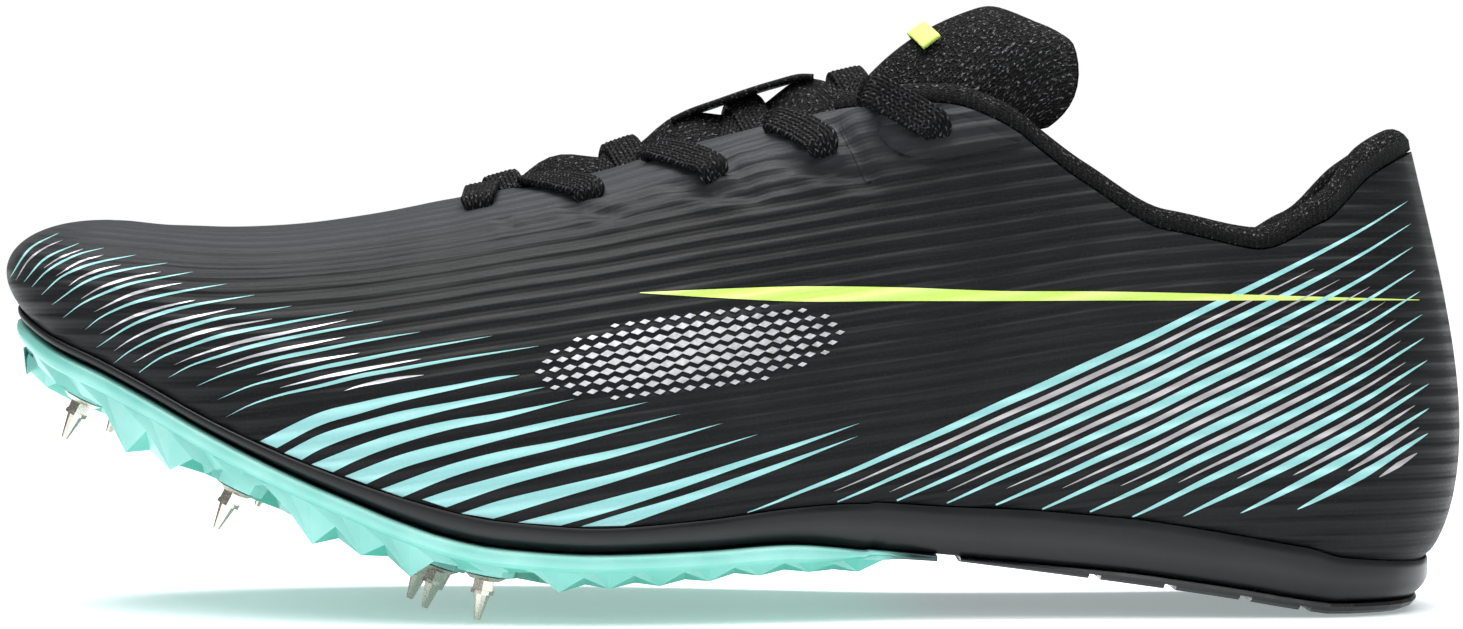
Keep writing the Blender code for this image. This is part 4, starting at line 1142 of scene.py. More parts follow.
def print_strip(first, second, inner, lift, count):
    """A thin closed strip on the upper between two edges of the side view, and its pattern map."""
    across = np.linspace(0, 1, count)
    wanted = np.array([[a + (b - a) * share for share in across] for a, b in zip(first, second)])
    spots = np.array([[find_spot(*place) for place in row] for row in wanted])
    found = seen(read_grid(SKIN, spots[..., 0], spots[..., 1]))
    missed = np.linalg.norm(found - wanted, axis=-1).max(axis=1)
    spots = spots[missed < PRINT_MISS]
    t = opposite(spots[..., 0]) if inner else spots[..., 0]
    u = spots[..., 1]
    points = read_grid(SKIN, t, u)
    ways = unit(read_grid(NORMALS, t, u))
    top = points + ways * lift
    low = points - ways * PRINT_SINK
    rings = np.concatenate((top, low[:, ::-1]), axis=1)
    pattern = read_grid(RIB_GRID, t, u)
    return rings, np.concatenate((pattern, pattern[:, ::-1]), axis=1)


def print_object(name, strips, finish, lift=PRINT_LIFT, count=4):
    """All the strips of one ink, on both sides of the shoe, as one object."""
    parts = []
    for first, second in strips:
        parts += [print_strip(first, second, inner, lift, count) for inner in (False, True)]
    obj = loft_all(name, [part for part in parts if len(part[0]) > 1])
    dress(obj, finish)
    obj.data.set_sharp_from_angle(angle=math.radians(60))
    return settle(obj)


def band_edges(low, high, stations, tip):
    """The upper and lower edge of a broad band, from its slanted base to its tip."""
    edges = []
    for base, sign in ((low, -1), (high, 1)):
        clear = [row for row in stations if row[0] > base[0] + BASE_CLEAR]
        edge = [(x, middle + sign * height / 2) for x, middle, height in clear]
        edges.append(spline([base] + edge + [tip], 60))
    return edges


def heel_line(start, end, drop, width):
    """A line along the heel's curve, tapered to both ends and widest in its middle."""
    curve = np.array(HEEL_CURVE, float)
    xs = np.linspace(start, end, 96)
    path = np.column_stack((xs, monotone(curve[:, 0], curve[:, 1])(xs) + drop))
    return edges_of(path, lens_width(96, width, 0.5, 0.6))


def make_prints():
    """All printed lines, the pressed piece and the seam in front of it."""
    teal = [edges_of(spline(row[1:], 30), lens_width(30, row[0], 0.45)) for row in TEAL_TOE]
    teal += [band_edges(*row) for row in TEAL_BANDS]
    teal += [heel_line(*ends, number * HEEL_STEP, TEAL_HEEL_WIDTH) for number, ends in enumerate(TEAL_HEEL)]
    silver = [edges_of(spline(row[1:], 24), lens_width(24, row[0], 0.5)) for row in SILVER_TOE]
    dull = []
    for number, ends in enumerate(SILVER_HEEL):
        dull.append(heel_line(*ends, (number + 0.52) * HEEL_STEP, SILVER_HEEL_WIDTH))
    print_object("teal_lines", teal, "teal")
    print_object("silver_lines", silver, "silver")
    print_object("dull_silver_lines", dull, "dull_silver")
    print_object("lime_line", [(spline(LIME_TOP, 70), spline(LIME_LOW, 70))], "lime")
    pressed = [(spline(PRESSED_TOP, 40), spline(PRESSED_LOW, 40))]
    print_object("pressed_piece", pressed, "film", PRESSED_LIFT, 12)
    seam = edges_of(spline(PRESSED_SEAM, 24), np.full(24, SEAM_WIDTH))
    print_object("pressed_seam", [seam], "film", SEAM_LIFT)


# A plain lens of small foil tiles on each side: rows follow the ribs, tiles grow towards its middle

TILE_FIELD = (690.0, 352.0)
TILE_REACH = (165.0, 44.0)
TILE_SLOPE = -0.13
TILE_ROW = 9.0
TILE_STEP = 15.0
TILE_THICKNESS = 0.34 * MM


def tile_spots():
    """Places, ways out, ways along and sizes of the tiles on both sides."""
    places = []
    outs = []
    alongs = []
    sizes = []
    rows = int(TILE_REACH[1] // TILE_ROW)
    steps = int(TILE_REACH[0] // TILE_STEP)
    for row in range(-rows, rows + 1):
        for step in range(-steps, steps + 1):
            aside = (step + 0.5 * (row % 2)) * TILE_STEP
            down = row * TILE_ROW
            room = 1 - (aside / TILE_REACH[0]) ** 2 - (down / TILE_REACH[1]) ** 2
            if room < 0.06:
                continue
            x = TILE_FIELD[0] + aside
            y = TILE_FIELD[1] + down + aside * TILE_SLOPE
            spot = find_spot(x, y)
            ahead = find_spot(x + 4, y + 4 * TILE_SLOPE)
            for inner in (False, True):
                t = opposite(spot[0]) if inner else spot[0]
                t_ahead = opposite(ahead[0]) if inner else ahead[0]
                point = read_grid(SKIN, t, spot[1])
                places.append(point)
                outs.append(unit(read_grid(NORMALS, t, spot[1])))
                alongs.append(unit(read_grid(SKIN, t_ahead, ahead[1]) - point))
                sizes.append(0.35 + 0.65 * room**0.6)
    return places, outs, alongs, sizes


def tile_tree(finish):
    """Geometry Nodes: one flat lozenge on each point, turned to the surface and to the ribs."""
    tree = bpy.data.node_groups.new("foil_tiles", "GeometryNodeTree")
    tree.interface.new_socket("Geometry", in_out="INPUT", socket_type="NodeSocketGeometry")
    for name in ("Tile Length", "Tile Width", "Tile Thickness"):
        tree.interface.new_socket(name, in_out="INPUT", socket_type="NodeSocketFloat")
    tree.interface.new_socket("Geometry", in_out="OUTPUT", socket_type="NodeSocketGeometry")
    entry = add_node(tree, "NodeGroupInput")
    read = {}
    for name, kind in (("facing", "FLOAT_VECTOR"), ("ahead", "FLOAT_VECTOR"), ("size", "FLOAT")):
        settings = {"data_type": kind}
        read[name] = add_node(tree, "GeometryNodeInputNamedAttribute", settings, {"Name": name})
    lozenge = add_node(tree, "GeometryNodeMeshCylinder", {}, {"Vertices": 4, "Radius": 0.5, "Depth": 1.0})
    inputs = {axis: entry.outputs[axis + 1] for axis in range(3)}
    shape = add_node(tree, "ShaderNodeCombineXYZ", {}, inputs)
    sized = add_node(tree, "GeometryNodeTransform", {}, {"Geometry": lozenge, "Scale": shape})
    align = "FunctionNodeAlignRotationToVector"
    facing = add_node(tree, align, {"axis": "Z"}, {"Vector": read["facing"].outputs["Attribute"]})
    inputs = {"Rotation": facing, "Vector": read["ahead"].outputs["Attribute"]}
    turned = add_node(tree, align, {"axis": "X", "pivot_axis": "Z"}, inputs)
    size = read["size"].outputs["Attribute"]
    grown = add_node(tree, "ShaderNodeCombineXYZ", {}, {0: size, 1: size, 2: 1.0})
    inputs = {"Points": entry, "Instance": sized, "Rotation": turned, "Scale": grown}
    placed = add_node(tree, "GeometryNodeInstanceOnPoints", {}, inputs)
    real = add_node(tree, "GeometryNodeRealizeInstances", {}, {0: placed})
    dressed = add_node(tree, "GeometryNodeSetMaterial", {}, {"Geometry": real, "Material": finish})
    add_node(tree, "NodeGroupOutput", {}, {0: dressed})
    return tree


def set_inputs(modifier, values):
    """A modifier's inputs by name, set through each socket's identifier."""
    for item in modifier.node_group.interface.items_tree:
        if item.in_out == "INPUT" and item.name in values:
            modifier[item.identifier] = values[item.name]


def make_tiles():
    """The lens of silver foil tiles on both sides."""
    sizes = bpy.context.scene.shoe_sizes
    places, outs, alongs, grades = tile_spots()
    tiles = new_mesh("foil_tiles", places, [], smooth=False)
    for name, kind, field, values in (
        ("facing", "FLOAT_VECTOR", "vector", outs), ("ahead", "FLOAT_VECTOR", "vector", alongs),
        ("size", "FLOAT", "value", grades),
    ):
        layer = tiles.data.attributes.new(name, kind, "POINT")
        layer.data.foreach_set(field, np.asarray(values, np.float32).ravel())
    modifier = tiles.modifiers.new("Tiles", "NODES")
    modifier.node_group = tile_tree(material("foil"))
    set_inputs(modifier, {
        "Tile Length": sizes.tile_length, "Tile Width": sizes.tile_width, "Tile Thickness": TILE_THICKNESS,
    })
    baked(tiles)
    outside_out(tiles)
    settle(tiles)


# Tongue, collar, label and laces

@lru_cache(maxsize=4096)
def tongue_ring(s):
    """Five points across the tongue's outer face; s runs from 0 at the throat's start to 1 at the top."""
    share = min(s / TONGUE_SPLIT, 1.0)
    t = TONGUE_START + (THROAT_END - TONGUE_START) * share
    spots = []
    narrow = min(max((share - 0.78) / 0.22, 0), 1)
    room = UPPER_WALL + LACE_ROOM + (ROLL_WIDTH - LACE_ROOM + 2 * FIT_GAP) * narrow
    for side in (t, opposite(t)):
        edge, way = skin(side, 0.5 * LACE_ROOM)
        deep, deep_way = skin(side, TONGUE_TUCK * (0.55 + 0.45 * share))
        spots.append((deep - deep_way * room, edge - way * room))
    left = top_point(t)
    right = top_point(opposite(t))
    half_gap = abs(right[1] - left[1]) / 2
    lift = CROWN_SHARE * half_gap - 0.6 * LACE_ROOM * (1 - share)
    middle = (left + right) / 2 + np.array((0, 0, lift))
    ring = [spots[0][0], spots[0][1], middle, spots[1][1], spots[1][0]]
    if s <= TONGUE_SPLIT:
        return ring
    free = (s - TONGUE_SPLIT) / (1 - TONGUE_SPLIT)
    end = []
    for place, sign in ((2, -1), (1, -1), (0, 1), (1, 1), (2, 1)):
        _, back, aside, drop = HEAD[place]
        offset = np.array((
            TONGUE_HEAD * (0.86 + back),
            sign * aside * BALL_WIDTH / 2,
            TONGUE_HEAD * (0.55 - drop),
        ))
        end.append(middle + offset)
    bulge = 0.08 * TONGUE_HEAD * math.sin(math.pi * free)
    return [
        a * (1 - free) + b * free + np.array((-bulge * 0.5, 0, bulge))
        for a, b in zip(ring, end)
    ]


@lru_cache(maxsize=1024)
def tongue_curves(s):
    ring = tongue_ring(s)
    return [monotone((-1.0, -0.6, 0.0, 0.6, 1.0), [point[k] for point in ring]) for k in range(3)]


def tongue_face(s, v):
    """A point of the tongue's outer face; v runs from -1 on the outer side to 1 on the inner side."""
    return np.array([curve(v) for curve in tongue_curves(s)])


def tongue_way(s, v):
    low = max(s - 0.02, 0)
    high = min(s + 0.02, 1)
    along = tongue_face(high, v) - tongue_face(low, v)
    across = tongue_face(s, min(v + 0.05, 1)) - tongue_face(s, max(v - 0.05, -1))
    return unit(np.cross(along, across))


def tongue_pad(s):
    """The tongue's thickness, which grows towards its padded head."""
    swell = min(max((s - 0.5) / 0.25, 0), 1)
    return TONGUE_WALL + (TONGUE_PAD - TONGUE_WALL) * swell * swell * (3 - 2 * swell)


def throat_tongue_place(t):
    """The place along the tongue under a place of the loop."""
    return TONGUE_SPLIT * (t - TONGUE_START) / (THROAT_END - TONGUE_START)


# How far the knit swells up between two straps, and how far the head leans back at its corners
KNIT_SWELL = 3.4 * MM
HEAD_LEAN = 6.6 * MM

# Along the tongue: where its head is split finer, where it starts to round off and where its corners start;
# then how much the corners are cut back
HEAD_FINE = 0.9
HEAD_ROUND = 0.88
CORNER_START = 0.7
CORNER_CUT = 0.10


def knit_swell(s, v):
    """The knit rises between the straps and is pressed down under each of them."""
    crossings = [low[0] + 0.25 * (high[0] - low[0]) for low, high in zip(EYELETS, EYELETS[1:])]
    t = TONGUE_START + (THROAT_END - TONGUE_START) * s / TONGUE_SPLIT
    for low, high in zip(crossings, crossings[1:]):
        if low < t < high:
            return KNIT_SWELL * math.sin(math.pi * (t - low) / (high - low)) ** 2 * (1 - v**4)
    return 0.0


def make_tongue():
    """The padded tongue, with rounded sides, corners and head."""
    rings = []
    head = HEAD_FINE + (1 - HEAD_FINE) * np.sin(np.linspace(0, math.pi / 2, 16)[1:])
    stations = np.concatenate((np.linspace(0, HEAD_FINE, 60), head))
    across = np.sin(np.linspace(-math.pi / 2, math.pi / 2, 41))
    for s in stations:
        rounding = smooth_step((s - HEAD_ROUND) / (1 - HEAD_ROUND))
        corner = CORNER_CUT * smooth_step((s - CORNER_START) / (1 - CORNER_START))
        outer = []
        inner = []
        for v in across:
            place = s * (1 - corner * abs(v) ** 8)
            pad = tongue_pad(place)
            way = tongue_way(place, v)
            free = smooth_step((place - TONGUE_SPLIT) / (1 - TONGUE_SPLIT))
            lean = HEAD_LEAN * (0.55 + 0.45 * v * v) * free
            point = tongue_face(place, v) + way * knit_swell(place, v) + np.array((lean, 0, 0))
            thin = pad * (1 - 0.25 * abs(v) ** 4)
            edge = 0.5 * (1 - math.sqrt(max(1 - abs(v) ** 7, 0)))
            end = 0.5 * (1 - math.sqrt(max(1 - rounding**3, 0)))
            inset = thin * min(max(edge, end), 0.47)
            outer.append(point - way * inset)
            inner.append(point - way * (thin - inset))
        rings.append(outer + inner[::-1])
    tongue = loft("padded_tongue", rings, loft_pattern(rings))
    dress(tongue, "padding")
    settle(tongue, ["tongue"])


# The patch on the tongue: from where to where along it, half its width, and its two faces over the knit
PATCH_PLACES = (0.768, 0.818)
PATCH_HALF = 0.30
PATCH_LOW = 0.1 * MM
PATCH_HIGH = 0.7 * MM


def make_label():
    """The small woven patch on the tongue's head: one plain lime cloth."""
    rings = []
    for s in np.linspace(*PATCH_PLACES, 10):
        under = []
        over = []
        for v in np.linspace(-PATCH_HALF, PATCH_HALF, 25):
            point = tongue_face(s, v)
            way = tongue_way(s, v)
            under.append(point + way * PATCH_LOW)
            over.append(point + way * PATCH_HIGH)
        rings.append(over + under[::-1])
    patch = loft("woven_patch", rings, loft_pattern(rings))
    dress(patch, "label")
    settle(patch, ["tongue_label"])


# The cuff's height as a share of the solid's, from the front end of the collar round to the heel
CUFF_PLACES = (0.0, 2.0, 5.0, 7.3, 8.6, 9.5)
CUFF_OUTER = monotone(CUFF_PLACES, (1.2, 1.2, 1.15, 1.7, 1.45, 1.0))
CUFF_INNER = monotone(CUFF_PLACES, (1.3, 1.3, 0.8, 0.9, 1.1, 1.0))

# At its front end the cuff has these shares of its width and depth, and reaches them in full this far behind
CUFF_NARROW = 0.62
CUFF_WIDENS = 3.0
CUFF_SHALLOW = 0.45
CUFF_DEEPENS = 2.5
CUFF_STEP = 0.05


def make_roll():
    """The knitted padded cuff around the collar."""
    outline = np.array(ROLL_OUTLINE + ROLL_OUTLINE[:3])
    closed = spline(np.column_stack((outline, np.zeros(len(outline)))), 400)[:, :2]
    start = np.argmin(np.linalg.norm(closed[:200] - outline[1], axis=1))
    end = start + 100 + np.argmin(np.linalg.norm(closed[start + 100:] - outline[1], axis=1))
    closed = closed[start:end]
    outline = closed[np.linspace(0, len(closed) - 1, 37).astype(int)][:-1]
    rings = []
    for t in np.arange(ROLL_FRONT, opposite(ROLL_FRONT) + 0.001, CUFF_STEP):
        point, way = skin(t, 0.0)
        below, _ = skin(t, 0.45 * ROLL_DEPTH)
        up = unit(point - below)
        from_front = min(t, opposite(t)) - ROLL_FRONT
        size = CUFF_NARROW + (1 - CUFF_NARROW) * min(max(from_front / CUFF_WIDENS, 0), 1)
        tall = (CUFF_OUTER if t <= LAST_ROW else CUFF_INNER)(from_front)
        deep = CUFF_SHALLOW + (1 - CUFF_SHALLOW) * min(from_front / CUFF_DEEPENS, 1)
        ring = []
        for out, rise in outline:
            inside = out < -0.3
            reach = UPPER_WALL + 2 * FIT_GAP if inside and rise < 0.2 else 0.0
            aside = min(out * ROLL_WIDTH * size, -reach)
            full = tall if rise > 0.1 else deep if rise < 0 else 1.0
            height = rise * ROLL_DEPTH * full
            if height < 0:
                wall, wall_way = skin(t, -height)
                ring.append(wall + wall_way * aside)
            else:
                ring.append(point + way * aside + up * height)
        rings.append(ring)
    roll = loft("collar_cuff", rings, loft_pattern(rings))
    dress(roll, "roll")
    settle(roll, ["collar_roll"])


LACE_WIDTH = 6.8 * MM
LACE_THICKNESS = 1.7 * MM
LACE_RIBS = 8
LACE_RIPPLE = 0.16 * MM
LACE_OVER = 0.62 * LACE_THICKNESS
CUFF_CLEAR = 3.4 * MM

# A strap's way, by shares of the step from one eyelet to the next: up under the edge, by shares of the first
# eyelet's depth, over the tongue, by places across it, and down the far side, by shares of the next one's depth
STRAP_UNDER = ((0.0, 1.0), (0.02, 0.5), (0.05, 0.05))
STRAP_CROSSING = ((0.13, -0.5), (0.25, 0.0), (0.38, 0.5))
STRAP_DOWN = ((0.50, 0.0), (0.66, 0.30), (0.83, 0.64))

# A strap's end runs over its eyelet, past its middle and down into it, and is held straight and thick there
END_TOP = 0.6 * MM
END_PAST = 1.9 * MM
END_SINK = 1.6 * MM
END_HELD = 6.0 * MM
END_THICK = 6.5 * MM

# The keeper band's height over the knit in millimetres, from its front end at -1 to its back end at 1
KEEPER_HEIGHTS = ((-1.0, 2.0), (-0.75, 2.5), (-0.4, 2.8), (0.0, 3.1), (0.4, 3.2), (0.75, 3.1), (1.0, 2.3))
KEEPER_THICKNESS = 1.3 * MM


def band(points, sides, widths, thicknesses, ribs, relief):
    """A flat braided band along a path: ribs run along its upper face and its edges are round."""
    forwards = unit(np.gradient(points, axis=0))
    sides = unit(sides - forwards * (sides * forwards).sum(axis=1, keepdims=True))
    tops = np.cross(forwards, sides)
    across = np.linspace(-1, 1, 4 * ribs + 1)
    rings = []
    for point, side, top, width, thick in zip(points, sides, tops, widths, thicknesses):
        ring = []
        for a in across:
            edge = math.sqrt(max(1 - abs(a) ** 6, 0))
            ripple = relief * (abs(math.cos((a + 1) / 2 * ribs * math.pi)) - 0.5)
            high = thick / 2 * (0.25 + 0.75 * edge) - (ripple if abs(a) < 0.98 else 0)
            ring.append(point + side * a * width / 2 + top * high)
        for a in across[::-2]:
            edge = math.sqrt(max(1 - abs(a) ** 6, 0))
            ring.append(point + side * a * width / 2 - top * thick / 2 * (0.25 + 0.75 * edge))
        rings.append(ring)
    rings = np.array(rings)
    along = run_along(points) * 1000
    v = np.concatenate((across, across[::-2])) * LACE_WIDTH / 2 * 1000
    pattern = np.stack(np.broadcast_arrays(along[:, None], v[None, :]), axis=-1)
    return rings, pattern


def lace_route(start, finish, to_inner, rise):
    """Keys of one strap: from under one eyelet, across the tongue, into the next eyelet on the far side."""
    far = opposite(finish[0]) if to_inner else finish[0]
    near_depth = start[1] * EYELET_INSET
    far_depth = finish[1] * EYELET_INSET
    span = finish[0] - start[0]
    keys = []

    def near_side(t):
        return t if to_inner else opposite(t)

    under = -(UPPER_WALL + LACE_OVER)
    for share, part in STRAP_UNDER:
        keys.append(skin(near_side(start[0] + span * share), part * near_depth, under))
    for share, v in STRAP_CROSSING:
        s = max(throat_tongue_place(start[0] + span * share), 0.0)
        v = v if to_inner else -v
        way = tongue_way(s, v)
        keys.append((tongue_face(s, v) + way * (0.6 * LACE_THICKNESS + rise * (1 - 0.5 * abs(v))), way))
    for share, part in STRAP_DOWN:
        t = start[0] + span * share
        near_roll = smooth_step((t - ROLL_FRONT + 0.45) / 0.5)
        extra = near_roll * CUFF_CLEAR * (1 - part) ** 2
        keys.append(skin(opposite(near_side(t)), far_depth * part, LACE_OVER + extra))
    keys.append(skin(far, far_depth + END_TOP, 0.75 * LACE_THICKNESS))
    keys.append(skin(far, far_depth + END_PAST, 0.05 * LACE_THICKNESS))
    keys.append(skin(far, far_depth, -UPPER_WALL - END_SINK))
    return keys


# Each strap's end is round where it dips into its eyelet
END_HIDDEN = 3.0 * MM
END_ROUND = 4.2 * MM


def round_end(left):
    """Share of a strap's full width at a distance from its end."""
    q = np.clip((left - END_HIDDEN) / END_ROUND, 0, 1)
    return 0.3 + 0.7 * np.sqrt(1 - (1 - q) ** 2)


def flat_path(keys, count):
    """Points on a smooth path and the way aside of each, from pairs of a point and the way up there."""
    path = spline(np.array([np.concatenate(key) for key in keys]), count)
    points = path[:, :3]
    return points, np.cross(unit(path[:, 3:]), unit(np.gradient(points, axis=0)))


def lay_strap(keys, count, both_ends=False):
    """A braided strap along its keys, flat over the foot and rounded where an end dips into its eyelet."""
    points, sides = flat_path(keys, count)
    run = run_along(points)
    left = run[-1] - run
    last = np.argmax(left < END_HELD)
    if both_ends:
        left = np.minimum(run, left)
        last -= 1
        first = np.argmax(run > END_HELD)
        sides[:first] = sides[first]
    sides[last:] = sides[last]
    thicknesses = LACE_THICKNESS * (1.15 - 0.15 * smooth_step(left / END_THICK))
    return band(points, sides, LACE_WIDTH * round_end(left), thicknesses, LACE_RIBS, LACE_RIPPLE)


def make_laces():
    """The bar at the front and four crossings, each strap threaded over the throat into its eyelet."""
    straps = [make_bar()]
    for low, high in zip(EYELETS, EYELETS[1:]):
        for to_inner, rise in ((True, 0.1 * MM), (False, 1.2 * MM)):
            straps.append(lay_strap(lace_route(low, high, to_inner, rise), 84))
    laces = loft_all("braided_laces", straps)
    dress(laces, "lace")
    settle(laces, ["laces"])


def make_bar():
    """The lowest strap: straight over the throat, into both first eyelets from outside."""
    t, share = EYELETS[0]
    depth = share * EYELET_INSET
    ends = []
    for place in (t, opposite(t)):
        ends.append([
            skin(place, depth, -UPPER_WALL - END_SINK),
            skin(place, depth + END_PAST, 0.05 * LACE_THICKNESS),
            skin(place, depth + END_TOP, 0.75 * LACE_THICKNESS),
            skin(place, 0.8 * depth, LACE_OVER),
            skin(place, 0.4 * depth, LACE_OVER),
            skin(place, 0.0, LACE_OVER + 0.2 * MM),
        ])
    s = throat_tongue_place(t)
    point = tongue_face(s, 0.0)
    level = (skin(t, 0.0, LACE_OVER)[0] + skin(opposite(t), 0.0, LACE_OVER)[0]) / 2
    point[2] = max(point[2] + 0.7 * LACE_THICKNESS, level[2] + 0.3 * MM)
    return lay_strap(ends[0] + [(point, tongue_way(s, 0.0))] + ends[1][::-1], 100, both_ends=True)


def make_keeper():
    """The loop band on the tongue that the third crossing runs under, seen edge-on from the side."""
    keys = []
    centre = (EYELETS[2][0] + EYELETS[3][0]) / 2
    for q, high in KEEPER_HEIGHTS:
        s = throat_tongue_place(centre - 0.2 + 0.72 * q)
        way = tongue_way(s, 0.0)
        keys.append((tongue_face(s, 0.0) + way * (high + 0.5) * MM, way))
    points, sides = flat_path(keys, 60)
    widths = np.full(60, KEEPER_WIDTH)
    rings, pattern = band(points, sides, widths, np.full(60, KEEPER_THICKNESS), 10, 0.08 * MM)
    keeper = loft("keeper_band", rings, pattern)
    dress(keeper, "lace")
    settle(keeper, ["lace_keeper"])


# The sole

# How far round from the toe the plate's smooth rim runs, in rows of the loop
RIM_START = 12.3

# The rim's outline: millimetres outwards from the bite line, and shares of its height down
RIM_SIDE = ((-2.6, 0.0), (-0.2, 0.0), (0.5, 0.12), (0.75, 0.4), (0.6, 0.75), (0.0, 1.0), (-2.6, 0.95))

# The foam's side: shares of its lip inwards from the bite line, and of its height
MIDSOLE_SIDE = (
    (-0.3, 1.0), (-0.7, 0.97), (-0.95, 0.90), (-1.0, 0.80), (-1.0, 0.66), (-0.95, 0.50),
    (-0.75, 0.40), (-0.3, 0.30), (0.3, 0.20), (1.2, 0.10), (2.2, 0.03), (3.2, 0.0),
)

# The footbed's side: how far inwards from the wall, and how high
INSOLE_SIDE = (
    (0.0, 0.1 * MM), (0.2 * MM, 0.75 * INSOLE_HEIGHT),
    (0.5 * MM, 0.92 * INSOLE_HEIGHT), (1.2 * MM, INSOLE_HEIGHT),
)


def sole_ring(inset, height, count=504):
    """A ring round the sole; inset and height are functions of the place along the shoe."""
    ring = []
    for k in range(count):
        t = k * LOOP / count
        point = base_point(t)
        along = section["base_along"](t)
        shift = outward(t) * inset(along)
        ring.append(np.array((point[0] - shift[0], point[1] - shift[1], height(along))))
    return np.array(ring)


def stack_object(name, rings):
    """A closed solid through stacked rings around the sole, closed by strips across at top and bottom."""
    count = len(rings[0])
    faces = ring_faces(len(rings), count, caps=False)
    for level in (0, len(rings) - 1):
        base = level * count
        faces.append((base, base + 1, base + count - 1))
        for k in range(1, count // 2 - 1):
            faces.append((base + k, base + k + 1, base + count - k - 1, base + count - k))
        faces.append((base + count // 2 - 1, base + count // 2, base + count // 2 + 1))
    obj = new_mesh(name, np.concatenate(rings), faces)
    outside_out(obj)
    obj.data.set_sharp_from_angle(angle=math.radians(50))
    return obj


def make_midsole():
    """The foam sole, full length, with its stepped side."""
    rings = []
    for out, share in MIDSOLE_SIDE:
        gap = FIT_GAP if share == 1.0 else 0.0
        rings.append(sole_ring(
            lambda a, out=out: out * MIDSOLE_LIP,
            lambda a, share=share, gap=gap: foam_bottom(a) + (bite_height(a) - foam_bottom(a)) * share - gap,
        ))
    midsole = stack_object("foam_midsole", rings)
    dress(midsole, "foam")
    settle(midsole, ["midsole"])


def make_insole():
    """The thin footbed inside."""
    rings = []
    for inset, height in INSOLE_SIDE:
        rings.append(sole_ring(
            lambda a, inset=inset: UPPER_WALL + 2 * FIT_GAP + inset,
            lambda a, height=height: bite_height(a) + height,
            252,
        ))
    insole = stack_object("insole_sheet", rings)
    dress(insole, "insole")
    settle(insole, ["insole"])


def make_plate_rim():
    """The smooth band along the plate's upper edge, from the shank round the toe and back."""
    rings = []
    for t in np.linspace(RIM_START, -RIM_START, 360):
        point = base_point(t)
        way = outward(t)
        top = foam_bottom(section["base_along"](t)) - FIT_GAP
        fade = smooth_step((RIM_START - abs(t)) / 1.2)
        tall = (0.8 + 2.4 * fade) * MM
        out = (-0.6 + 0.9 * fade) * MM
        ring = []
        for aside, down in RIM_SIDE:
            ring.append(np.array((*(point[:2] + way[:2] * (out + aside * MM)), top - down * tall)))
        rings.append(ring)
    rim = loft("plate_rim", rings, loft_pattern(rings))
    dress(rim, "plate")
    settle(rim)


def dress_frame():
    """Nodes whose own shape is shown get their finish."""
    finishes = {"spike_plate": ("plate", "plate"), "heel_outsole": ("rubber", "rubber")}
    for number in range(1, SPIKE_COUNT + 1):
        finishes[f"spike_{number}"] = ("steel", "spike_steel")
    for name, (finish, slot) in finishes.items():
        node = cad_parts[name]
        dress(node, finish)


def finish_sole():
    """The plate's rim, and the finishes of plate, heel rubber and spikes."""
    make_plate_rim()
    dress_frame()


# The stage

IMAGE_WIDTH = 1463
IMAGE_HEIGHT = 629
SENSOR_WIDTH = 36
FLOOR_REACH = 6.0
FLOOR_DROP = 0.5 * MM
FLOOR_GLOW = 0.36
ROOM_LIGHT = 0.22
SKY_LIGHT = 2.8

# Softboxes: place, width, height and power in watts
SOFTBOXES = {
    "top_softbox": ((0.0, 0.05, 0.8), 0.9, 0.5, 10),
    "front_softbox": ((-0.25, -1.1, 0.55), 0.9, 0.3, 1.2),
}
SOFTBOX_AIM = (0, 0, 0.05)


def make_stage():
    """A plain pale floor, soft light and the camera of the side view."""
    scene = bpy.context.scene
    reach = FLOOR_REACH
    corners = [(-reach, -reach), (reach, -reach), (reach, reach), (-reach, reach)]
    floor = new_mesh("floor", [(x, y, -FLOOR_DROP) for x, y in corners], [(0, 1, 2, 3)], smooth=False)
    pale, tree, shader = start_material("pale_floor", Roughness=0.7, Specular_IOR_Level=0.2)
    feed(tree, shader, {
        "Base Color": linear("#f2f5f8"), "Emission Color": linear("#eef8f8"),
        "Emission Strength": FLOOR_GLOW,
    })
    floor.data.materials.append(pale)

    world = bpy.data.worlds.new("studio")
    scene.world = world
    world.use_nodes = True
    # A white backdrop to look at, and a dimmer room that lights the shoe
    tree = world.node_tree
    room = tree.nodes["Background"]
    feed(tree, room, {"Color": (1, 1, 1, 1), "Strength": ROOM_LIGHT})
    backdrop = add_node(tree, "ShaderNodeBackground", {}, {"Color": (1, 1, 1, 1), "Strength": 1.0})
    path = add_node(tree, "ShaderNodeLightPath")
    inputs = {0: path.outputs["Is Camera Ray"], 1: room, 2: backdrop}
    feed(tree, tree.nodes["World Output"], {"Surface": add_node(tree, "ShaderNodeMixShader", {}, inputs)})

    for name, (place, width, height, power) in SOFTBOXES.items():
        data = bpy.data.lights.new(name, "AREA")
        data.shape = "RECTANGLE"
        data.size = width
        data.size_y = height
        data.energy = power
        lamp = add_object(name, data)
        lamp.location = place
        lamp.rotation_euler = (Vector(SOFTBOX_AIM) - Vector(place)).to_track_quat("-Z", "Y").to_euler()
    sky = bpy.data.lights.new("even_sky", "SUN")
    sky.energy = SKY_LIGHT
    sky.angle = math.radians(70)
    add_object("even_sky", sky).rotation_euler = (math.radians(12), 0, 0)

    data = bpy.data.cameras.new("camera")
    data.lens = SENSOR_WIDTH * VIEW_SCALE / IMAGE_WIDTH
    data.sensor_width = SENSOR_WIDTH
    data.shift_x = (IMAGE_WIDTH / 2 - VIEW_MIDDLE[0]) / IMAGE_WIDTH
    data.shift_y = (VIEW_MIDDLE[1] - IMAGE_HEIGHT / 2) / IMAGE_WIDTH
    camera = add_object("camera", data)
    camera.location = tuple(VIEW_PLACE)
    camera.rotation_euler = (math.radians(90), 0, 0)
    scene.camera = camera
    scene.view_settings.view_transform = "Standard"


# Values that a user would change

